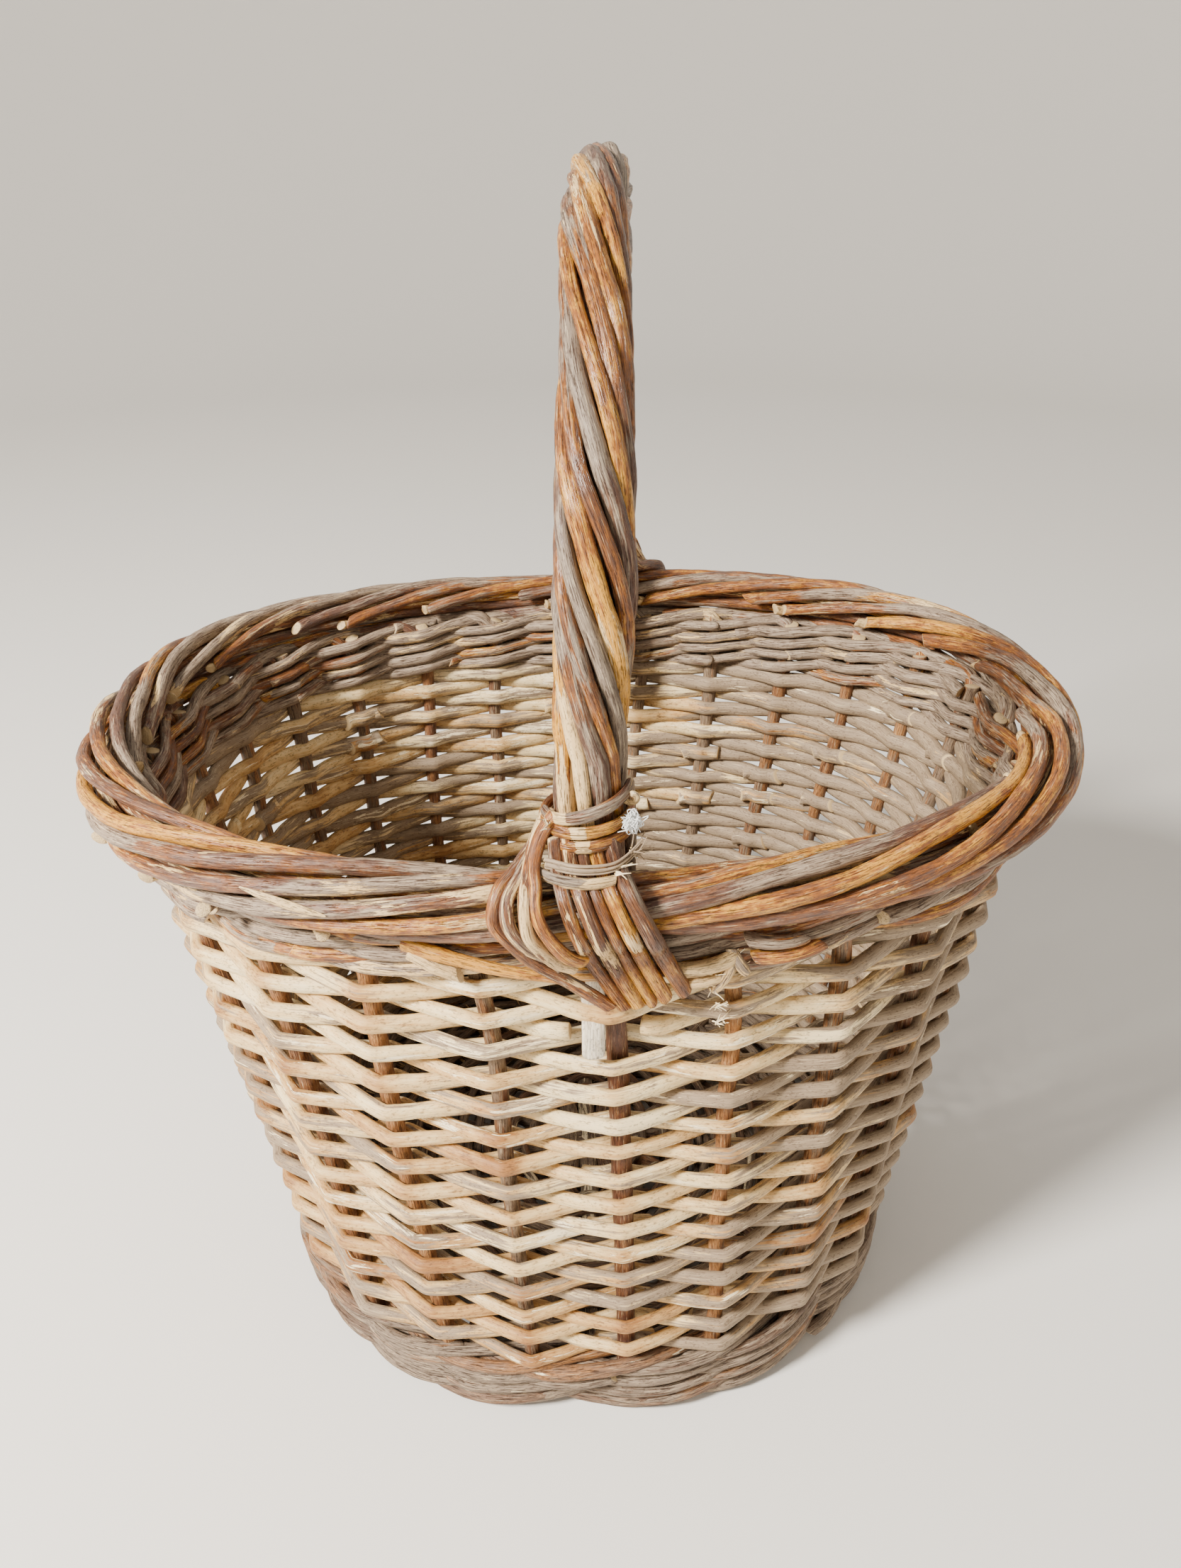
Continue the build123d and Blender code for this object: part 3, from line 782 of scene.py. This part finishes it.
for strand, (hue, grey, bare) in enumerate(handle_tones):
    chance = fresh()
    run = np.linspace(14, arch_length - 14, 480)
    size = np.interp(run / arch_length, bundle_share, bundle_size)
    thick = 2.75 * chance.uniform(0.85, 1.16) * (1 + 0.10 * wander(run, 50, chance))
    turn = 360 * strand / strand_count + np.interp(run, twist_run, twist_turn) + 60
    turn = turn + 8 * wander(run, 45, chance)
    radius = size - thick + 0.7 * wander(run, 30, chance)
    if strand < 2:
        bare = bare + 0.45 * near(run, 48, 34)
    tone = drifting((hue, grey, bare), run, (0.30, 0.30, 0.25), (30, 40, 25), chance)
    bundles[strand % 2].add(on_arch(run, turn, radius), thick, tone, sides=16, knobbly=1.5)
bundles[0].build("handle_strands_first", handle_bark, "handle_willow", "handle_roping_first")
bundles[1].build("handle_strands_second", handle_bark, "handle_willow", "handle_roping_second")

bow = Rods()
run = np.linspace(0, arch_length, 360)
bow.add(on_arch(run, 0 * run, 0 * run), bow_radius, (0.3, 0.5, 0.1))
bow.build("handle_core", handle_bark, "handle_willow", "handle_bow")


def front_y(x, half_length, half_width):
    return -half_width * (1 - np.abs(np.asarray(x) / half_length) ** oval_power) ** (1 / oval_power)


def at_front(x, y, z, share):
    """A point of the settled shape that keeps its own x."""
    return np.array([x, *settled(np.float64(x), y, z, share)[1:]])


def over_rim(x, around, reach):
    """A point on the outside of the rim at the front."""
    y = front_y(x, rim_half_length, rim_half_width) - reach * math.cos(math.radians(around))
    return at_front(x, y, rim_height + reach * math.sin(math.radians(around)), 1.0)


def down_wall(x, height, offset):
    """A point outside the side at the front, below the rim."""
    share = height / rim_height
    half_width = foot_half_width + (wall_half_width - foot_half_width) * share
    return at_front(x, front_y(x, wall_half_length, half_width) - offset, height, share)


feet_middle_x = 5.25


def foot_side(points, at_back):
    """Moves points of the front foot to the back foot: half a turn round the upright axis."""
    points = np.array(points, float)
    if not at_back:
        return points
    turned = points.copy()
    turned[:, 0] = 2 * feet_middle_x - points[:, 0]
    turned[:, 1] = -points[:, 1] - 2 * lean_forward
    turned[:, 2] = points[:, 2] - 2 * front_lift
    return turned


roll_out = 12.6             # from the middle of the rim to the outside of its roll

fan_rods = [                # x at the top, x at the end, end height, how late it bends, radius, tone
    (-12.8, 9.4, 218.6, 1.90, 2.15, (0.35, 0.40, 0.35)),
    (-8.9, 14.4, 219.2, 1.55, 2.50, (0.40, 0.30, 0.40)),
    (-5.0, 18.2, 220.6, 1.45, 2.05, (0.25, 0.30, 0.25)),
    (-1.2, 22.8, 222.2, 1.35, 2.40, (0.60, 0.15, 0.20)),
    (3.4, 28.6, 224.8, 1.30, 2.70, (0.20, 0.40, 0.15)),
]


def build_foot(at_back, name, tail_nodes):
    """The rods that bind a foot of the handle to the rim."""
    tails = Rods()
    for x_top, x_end, z_end, bend, radius, tone in fan_rods:
        chance = fresh()
        reach = roll_out + radius + 0.3
        line = np.array([
            (x_top, -134.5, 287.0),
            (x_top, -138.0, 279.5),
            over_rim(x_top, 58, reach),
            over_rim(x_top, 32, reach),
            over_rim(x_top, 6, reach + 0.3),
            over_rim(x_end, -22, reach + 0.6),
            down_wall(x_end, 246.0, 13.0 + radius),
            down_wall(x_end, 237.0, 10.4 + radius),
            down_wall(x_end, z_end, 8.4 + radius),
        ])
        level = 0.86 * line[:, 2] + 0.51 * line[:, 1]       # how high it looks from above the front
        fall = (level[0] - level) / (level[0] - level[-1])
        line[:, 0] = x_top + (x_end - x_top) * np.clip(fall, 0, 1) ** bend
        path = smooth_path(foot_side(line, at_back), 1.3)
        share = np.linspace(0, 1, len(path))
        middle_wear = chance.uniform(0.3, 0.9) * near(share, chance.uniform(0.35, 0.62), 0.12)
        low_end = np.clip((share - 0.72) / 0.1, 0, 1)
        hue, grey, bare = tone
        tones = blend(hue + 0.35 * low_end, grey - 0.3 * low_end, bare + 0.45 * middle_wear - 0.15 * low_end)
        tails.add(path, radius, tones, sides=16, knobbly=1.2, slant=(0.4, 0.9))
    inner_places = [(-10.5, -113.0), (-3.8, -108.6), (3.8, -108.6), (10.5, -113.0)]
    for x, y in inner_places:
        line = [(x * 0.9, y - 3.0, 296.0), (x, y - 1.0, 280.0), (x * 1.05, y + 1.6, 262.0),
                (x * 1.1, y + 3.4, 240.0), (x * 1.1, y + 3.2, 222.0)]
        tone = random_bark(fresh(), np.zeros(1))
        tails.add(smooth_path(foot_side(line, at_back)), 2.9, tone, knobbly=1.2)
    tails.build(f"{name}_tails", handle_bark, "handle_willow")

    ties = Rods()
    left_rods = [
        [(-12.0, -132.0, 293.0), (-16.4, -134.0, 287.0), (-19.0, -137.5, 279.0),
         over_rim(-18.6, 55, 15.4), over_rim(-18.6, 30, 15.6), over_rim(-16.2, 6, 16.4),
         over_rim(-10.0, -26, 17.6), over_rim(-4.0, -48, 18.0)],
        [(-14.5, -126.0, 290.0), (-19.0, -130.0, 281.0), over_rim(-21.4, 66, 15.0),
         over_rim(-21.8, 32, 15.4), over_rim(-21.0, 0, 15.6), over_rim(-17.0, -28, 15.8),
         (-12.8, -143.2, 246.0), (-7.0, -141.6, 242.2)],
        [(-12.0, -122.0, 288.0), (-18.0, -127.0, 279.5), over_rim(-23.2, 74, 14.8),
         over_rim(-27.2, 42, 14.9), over_rim(-26.8, 8, 15.0), over_rim(-21.6, -24, 15.2),
         (-15.6, -141.0, 246.0), (-10.0, -139.8, 240.0)],
        [(-11.0, -119.0, 286.0), (-18.0, -124.0, 279.0), over_rim(-25.0, 80, 14.7),
         over_rim(-30.0, 50, 14.7), over_rim(-31.6, 14, 14.7), over_rim(-27.0, -14, 14.9),
         (-20.0, -142.0, 245.0), (-12.0, -139.4, 237.0), (-3.0, -138.2, 229.0), (5.0, -137.4, 221.5)],
    ]
    left_tones = [(0.62, 0.20, 0.30), (0.45, 0.30, 0.60), (0.25, 0.55, 0.45), (0.40, 0.35, 0.40)]
    for line, tone in zip(left_rods, left_tones):
        path = smooth_path(foot_side(line, at_back), 1.3)
        ties.add(path, 2.25, tone, sides=16, knobbly=1.2, slant=(0.4, 1.0))
    ties.build(f"{name}_ties", bark, "bark_willow", *tail_nodes)

    wraps = Rods()
    wrap_x, wrap_y = -2.7, -125.0
    # height at the left, rise to the right, reach, half width, start, end, tone, middle of the worn patch
    wrap_rows = [
        (275.8, -0.4, 19.2, 2.0, 139, 64, (0.30, 0.60, 0.45), 78),
        (283.6, 3.0, 13.6, 2.2, 250, -70, (0.66, 0.12, 0.02), 96),
        (288.4, 3.4, 13.5, 2.0, 250, -70, (0.60, 0.12, 0.02), 102),
        (291.6, 8.4, 12.9, 2.1, 174, 4, (0.30, 0.55, 0.35), 130),
    ]
    for left_height, rise, reach, half_width, start, end, (hue, grey, bare), patch in wrap_rows:
        degrees = np.linspace(start, end, 130)
        angle = np.radians(degrees)
        x = wrap_x + reach * np.cos(angle)
        y = wrap_y - reach * 0.98 * np.sin(angle)
        z = left_height + rise * (1 + np.cos(angle)) / 2
        outward = np.stack([np.cos(angle), -np.sin(angle), 0 * angle], -1)
        line = foot_side(np.stack([x, y, z], -1), at_back)
        if at_back:
            outward = outward * [-1, -1, 1]
        worn = near(degrees, patch, 11)
        tones = blend(hue, grey - 0.3 * worn, bare + 0.95 * worn)
        wraps.add(line, half_width, tones, sides=14, flat=0.62, outward=outward, knobbly=1.2)
    wraps.build(f"{name}_wraps", handle_bark, "handle_willow")


for at_back, side in enumerate(("front", "back")):
    build_foot(at_back, f"handle_foot_{side}", (f"handle_ties_{side}", f"handle_lapping_{side}"))


# ---- loose ends: broken strands, fibres, a bit of lint, cut butts and a peeled sliver ----
def fibre_tuft(rods, place, way, count, length, spread, thick, tone):
    """A few fine fibres that leave a place, each bending its own way."""
    chance = fresh()
    for _ in range(count):
        heading = unit(np.array(way) + chance.normal(0, spread, 3))
        curl = chance.normal(0, 0.5, 3)
        reach = length * chance.uniform(0.4, 1.1)
        steps = np.linspace(0, 1, 6)[:, None]
        start = np.array(place) + chance.normal(0, 0.8, 3)
        line = start + heading * reach * steps + curl * reach * 0.35 * steps ** 2
        path = smooth_path(line, 0.6)
        rods.add(path, np.linspace(thick, 0.12, len(path)), tone, sides=6)


loose = Rods()
grey_strand = [(-15.6, -138.4, 279.6), (-6.0, -142.6, 279.8), (3.3, -142.4, 280.0), (8.4, -140.4, 281.6),
               (13.4, -137.0, 285.0)]
for lift, thick in ((0.0, 1.0), (1.5, 0.7), (-1.2, 0.6)):
    path = smooth_path(np.array(grey_strand) + [0, 0, lift], 0.8)
    loose.add(path, np.linspace(thick, 0.25, len(path)), (0.2, 0.85, 0.1), sides=8, knobbly=1.5)
fibre_tuft(loose, (6.0, -141.5, 278.5), (1.0, -0.2, 0.1), 9, 5.0, 0.4, 0.35, (0.3, 0.3, 0.8))
fibre_tuft(loose, (11.0, -138.0, 283.0), (1.0, -0.2, 0.0), 10, 7.0, 0.5, 0.3, (0.2, 0.9, 0.2))
fibre_tuft(loose, (-14.5, -136.0, 291.5), (-1.0, -0.3, 0.3), 5, 4.0, 0.5, 0.3, (0.3, 0.6, 0.5))
curl_turn = np.linspace(0, 1.4 * np.pi, 12)
curled = [10.2, -132.0, 297.6] + np.stack([2 * np.sin(curl_turn), 0.5 * curl_turn, 2 * np.cos(curl_turn)], -1)
loose.add(smooth_path(curled, 0.8), 1.1, (0.3, 0.5, 0.5), sides=10, flat=0.5, outward=[0, -1, 0])
for x, height in ((43.0, 236.0), (46.0, 232.0), (37.5, 224.0), (38.5, 217.0), (37.5, 231.0), (40.0, 210.0)):
    fibre_tuft(loose, down_wall(x, height, 10.0), (0.7, -0.35, 0.25), 9, 4.0, 0.5, 0.28, (0.2, 0.5, 0.6))
loose.build("loose_fibres", bare_willow, "handle_willow")

lint_shader = Shader("lint")
lint_noise = lint_shader.noise(lint_shader.attribute("grain", 1))
lint_colour = lint_shader.mix(lint_noise, (0.62, 0.62, 0.60, 1), (0.86, 0.87, 0.86, 1))
lint_shader.put(lint_shader.surface.inputs["Base Color"], lint_colour)
lint_shader.put(lint_shader.surface.inputs["Roughness"], 0.95)
lint = Rods()
chance = fresh()
for _ in range(70):
    knots = np.array([10.6, -135.4, 292.2]) + chance.normal(0, 1.25, (6, 3)) * [1.0, 0.8, 1.2]
    lint.add(smooth_path(knots, 0.7), 0.17, (0.5, 0.5, 0.5), sides=5, knobbly=0.3)
lint.build("lint_tuft", lint_shader.material, "handle_willow")

pointed = Rods()
line = [down_wall(-62.0, 243.5, 9.0), down_wall(-51.0, 241.0, 10.4), down_wall(-32.5, 236.4, 11.0),
        down_wall(-13.7, 232.8, 11.4), down_wall(-4.0, 229.5, 11.0)]
path = smooth_path(line, 1.4)
pointed.add(path, 2.7 * np.linspace(1, 0.45, len(path)), (0.85, 0.2, 0.15), knobbly=1.4)
line = [down_wall(-60.0, 240.0, 9.2), down_wall(-52.0, 236.4, 10.8), down_wall(-42.0, 231.6, 9.6)]
pointed.add(smooth_path(line, 1.4), 2.6, (0.2, 0.7, 0.75), knobbly=1.5, slant=(1.5, 1.8))
broken_rods = [             # x and height at each end, radius, tone: broken rods to the right of the handle
    (23.0, 232.5, 45.0, 236.8, 2.3, (0.10, 0.30, 0.85)), (24.0, 226.6, 43.0, 230.0, 1.7, (0.10, 0.35, 0.80)),
    (43.0, 239.0, 49.0, 230.0, 2.0, (0.40, 0.70, 0.45)), (47.0, 242.0, 68.0, 240.5, 2.4, (0.50, 0.60, 0.35)),
    (50.0, 234.0, 74.0, 236.5, 2.4, (0.80, 0.25, 0.30)), (38.0, 222.0, 44.0, 236.0, 1.9, (0.20, 0.60, 0.60)),
]
for x, height, end_x, end_height, radius, tone in broken_rods:
    line = []
    for share in np.linspace(0, 1, 18):
        level = height + (end_height - height) * share
        line.append(down_wall(x + (end_x - x) * share, level, 8.0 + 3.6 * math.sin(2.6 * share)))
    pointed.add(np.array(line), radius, tone, knobbly=1.5, slant=(1.2, 1.6))
sliver_place = np.linspace(-2.5, -1.85, 24)
sliver = rim(sliver_place, np.linspace(24, 4, 24), 13.0)
pointed.add(sliver, 1.7 * np.sin(np.linspace(0.25, 2.9, 24)), (0.1, 0.2, 1.0), flat=0.4,
            outward=rim(sliver_place, 15, 40.0) - sliver, slant=(1.8, 1.8))
butts = [                   # where a cut butt ends: place, height, how far out, and its bare share
    (-2.05, 247.0, 14.0, 0.9), (-3.00, 249.0, 20.0, 0.1), (-3.12, 243.5, 12.5, 0.2),
    (-3.80, 246.0, 17.0, 0.7), (-4.50, 249.0, 21.0, 0.8), (-6.8, 242.0, 13.0, 0.3),
    (-9.4, 240.0, 12.0, 0.4), (4.6, 239.0, 12.0, 0.3), (8.2, 241.0, 12.5, 0.4),
    (11.6, 238.0, 12.0, 0.2), (14.9, 242.0, 12.5, 0.3),
]
for place, height, outward, bare in butts:
    chance = fresh()
    share = np.linspace(0, 1, 12)
    line = wall(place - 0.16 * (1 - share), height - 5.0 * (1 - share), 6.0 + (outward - 6.0) * share ** 1.4)
    tone = (chance.uniform(0.1, 0.6), chance.uniform(0.5, 0.9), bare)
    pointed.add(line, 2.5, tone, knobbly=1.2, slant=(0.4, 1.2))
pointed.build("butts_and_slivers", bark, "bark_willow")


# ---- the split pegs ----
def peg(at_back, name, node):
    slab = Rods()
    x = -1.0
    heights = np.linspace(232, 197, 40)
    sunk = np.clip((heights - 207) / 8, 0, 1)
    line = np.array([down_wall(x, z, 8.4 - 5.4 * share) for z, share in zip(heights, sunk)])
    outward = [0, 1 if at_back else -1, 0]
    slab.add(foot_side(line, at_back), 4.1, (0.3, 0.3, 0.55), sides=16, flat=0.42, outward=outward,
             slant=(0.2, 0.7))
    slab.build(name, pale_wood, "pale_wood", node)


for at_back, side in enumerate(("front", "back")):
    peg(at_back, f"split_peg_{side}", f"handle_peg_{side}")


# ---- base ----
base_low, base_high = box_mm("base_sticks_threaded")
base_radius = (base_high[0] - base_low[0]) / 2
base_edge_height = 9.6
base_dome = 6.0
stick_ends = 14


def base_height(radius):
    return base_edge_height + base_dome * (1 - (radius / base_radius) ** 2)


stick_space = 2 * np.pi / stick_ends
stick_sets = [              # how many, their turn, how far apart they cross, their radius
    (4, 0.0, 8.0, 3.6), (3, np.pi / 2, 10.0, 4.4),
]
base_bark = {"hue": (0, 0.6), "grey": (0.4, 0.9)}
sticks = Rods()
for count, turn, spacing, stick_radius in stick_sets:
    for index in range(count):
        shift = index - (count - 1) / 2
        far = base_radius * np.array([math.cos(shift * stick_space), math.sin(shift * stick_space)])
        near = np.array([24.0, shift * spacing])
        spots = [near + (far - near) * (share - 0.24) / 0.76 for share in (1.0, 0.6, 0.24)]
        spots = [(-x, y) for x, y in spots] + spots[::-1]
        line = []
        for x, y in spots:
            turned_x = x * math.cos(turn) - y * math.sin(turn)
            turned_y = x * math.sin(turn) + y * math.cos(turn)
            line.append((turned_x, turned_y, base_height(math.hypot(x, y))))
        sticks.add(smooth_path(line, 3.0), stick_radius, random_bark(fresh(), np.zeros(1), **base_bark))
sticks.build("base_sticks", grey_willow, "grey_willow", "base_sticks_pierced", "base_sticks_threaded")

stick_angles = []
for quarter in range(4):
    count = stick_sets[quarter % 2][0]
    for index in range(count):
        stick_angles.append(quarter * np.pi / 2 + (index - (count - 1) / 2) * stick_space)
stick_angles = np.sort(np.array(stick_angles) % (2 * np.pi))
wave_places = np.concatenate([stick_angles + 2 * np.pi * lap for lap in (-1, 0, 1, 2)])


def base_point(radius, angle, rise):
    """A point of the base, whose outer rounds follow the squarish outline of the foot."""
    reach_x, reach_y = oval(angle, foot_half_length, foot_half_width)
    squarish = np.clip((radius - 60) / 60, 0, 1)
    x = radius * ((1 - squarish) * np.cos(angle) + squarish * reach_x / foot_half_width)
    y = radius * ((1 - squarish) * np.sin(angle) + squarish * reach_y / foot_half_width)
    height = np.maximum(base_height(np.minimum(radius, base_radius)) + rise, 2.2)
    return np.stack(np.broadcast_arrays(x, y, height), -1)


def base_rounds(radii, name, slot, node, amplitude):
    piece = Rods()
    for index, radius in enumerate(radii):
        chance = fresh()
        start = chance.uniform(0, 2 * np.pi)
        angle = np.linspace(start, start + 2 * np.pi + 0.15, int(radius * 3.4) + 40)
        phase = np.interp(angle, wave_places, np.arange(len(wave_places)))
        rise = amplitude * np.cos(np.pi * phase + np.pi * index)
        wide = radius + 0.5 * wander(angle * radius, 30, chance)
        line = base_point(wide, angle, rise)
        tone = random_bark(chance, angle * radius, (0.0, 0.5), (0.3, 0.9), (0.1, 0.5))
        piece.add(line, 2.1 * chance.uniform(0.9, 1.1), tone, sides=10)
    piece.build(name, grey_willow, slot, node)


stake_butts = Rods()
for k in range(stake_count):
    foot = wall(k, 15.0, -1.5)
    line = [(foot[0] * share, foot[1] * share, 9.0 + 4.0 * share ** 2) for share in (0.66, 0.78, 0.90)]
    line += [tuple(foot), tuple(wall(k, 26.0, 0.0))]
    stake_butts.add(smooth_path(line, 2.0), 3.0, random_bark(fresh(), np.zeros(1), **base_bark))
stake_butts.build("stake_butts", dark_bark, "bark_willow", "side_stakes")

rounds = np.linspace(38, 121, 20)
base_rounds([27.5, 32.5], "base_ties", "grey_willow", "base_tie_rods", 6.0)
base_rounds(rounds[:9], "base_rounds_inner", "bare_willow", "base_weave_inner", 5.4)
base_rounds(rounds[9:], "base_rounds_outer", "bare_willow", "base_weave_outer", 5.6)

# ---- floor, light and camera ----
paper = Shader("paper_floor")
paper.put(paper.surface.inputs["Base Color"], colour(236, 233, 228))
paper.put(paper.surface.inputs["Roughness"], 0.9)

# metres from here on: the flat floor, its curve up into a round wall, and the top of that wall
floor_reach = 1.7
curve_radius = 0.9
wall_top = 3.4
curve_steps = 16
bowl_sides = 96
bowl = [(0.0, 0.0), (0.6, 0.0), (1.2, 0.0), (floor_reach, 0.0)]
for step in range(1, curve_steps + 1):
    angle = math.pi / 2 * step / curve_steps
    bowl.append((floor_reach + curve_radius * math.sin(angle), curve_radius * (1 - math.cos(angle))))
bowl.append((floor_reach + curve_radius, wall_top))
turns = [2 * math.pi * side / bowl_sides for side in range(bowl_sides)]
verts = [(reach * math.cos(turn), reach * math.sin(turn), height) for reach, height in bowl for turn in turns]
quads = []
for ring in range(1, len(bowl)):
    low, high = (ring - 1) * bowl_sides, ring * bowl_sides
    for side in range(bowl_sides):
        after = (side + 1) % bowl_sides
        quads.append((low + side, high + side, high + after, low + after))
floor_mesh = bpy.data.meshes.new("floor")
floor_mesh.from_pydata(verts, [], quads)
floor_mesh.polygons.foreach_set("use_smooth", [True] * len(quads))
floor_mesh.materials.append(paper.material)
in_scene("floor", floor_mesh)


def area_light(name, place, target, size, power, tint):
    data = bpy.data.lights.new(name, "AREA")
    data.shape = "DISK"
    data.size = size
    data.energy = power
    data.color = tint
    lamp = in_scene(name, data)
    lamp.location = place
    lamp.rotation_euler = (Vector(target) - Vector(place)).to_track_quat("-Z", "Y").to_euler()


area_light("key", (-1.05, -0.72, 1.22), (0, 0, 0.18), 0.36, 86.0, (1.0, 0.95, 0.87))
area_light("fill", (1.3, -1.0, 0.9), (0, 0, 0.15), 1.4, 2.5, (1.0, 0.98, 0.96))
area_light("top", (0.1, 0.6, 1.9), (0, 0, 0.1), 1.6, 5.0, (1.0, 1.0, 1.0))

world = bpy.data.worlds.new("studio")
world.use_nodes = True
background = world.node_tree.nodes["Background"]
background.inputs["Color"].default_value = (1.0, 0.98, 0.96, 1)
background.inputs["Strength"].default_value = 0.20
bpy.context.scene.world = world

camera_data = bpy.data.cameras.new("camera")
camera_data.sensor_fit = "VERTICAL"
camera_data.sensor_height = 36.0
camera_data.lens = 28.57
camera_data.clip_start = 0.02
camera = in_scene("camera", camera_data)
camera.location = (-0.01097, -0.44633, 0.49055)
yaw, pitch, roll = math.radians(1.694), math.radians(-30.78), math.radians(-0.272)
turned = Matrix.Rotation(-yaw, 3, "Z") @ Matrix.Rotation(math.pi / 2 + pitch, 3, "X")
camera.rotation_euler = (turned @ Matrix.Rotation(roll, 3, "Z")).to_euler()
bpy.context.scene.camera = camera
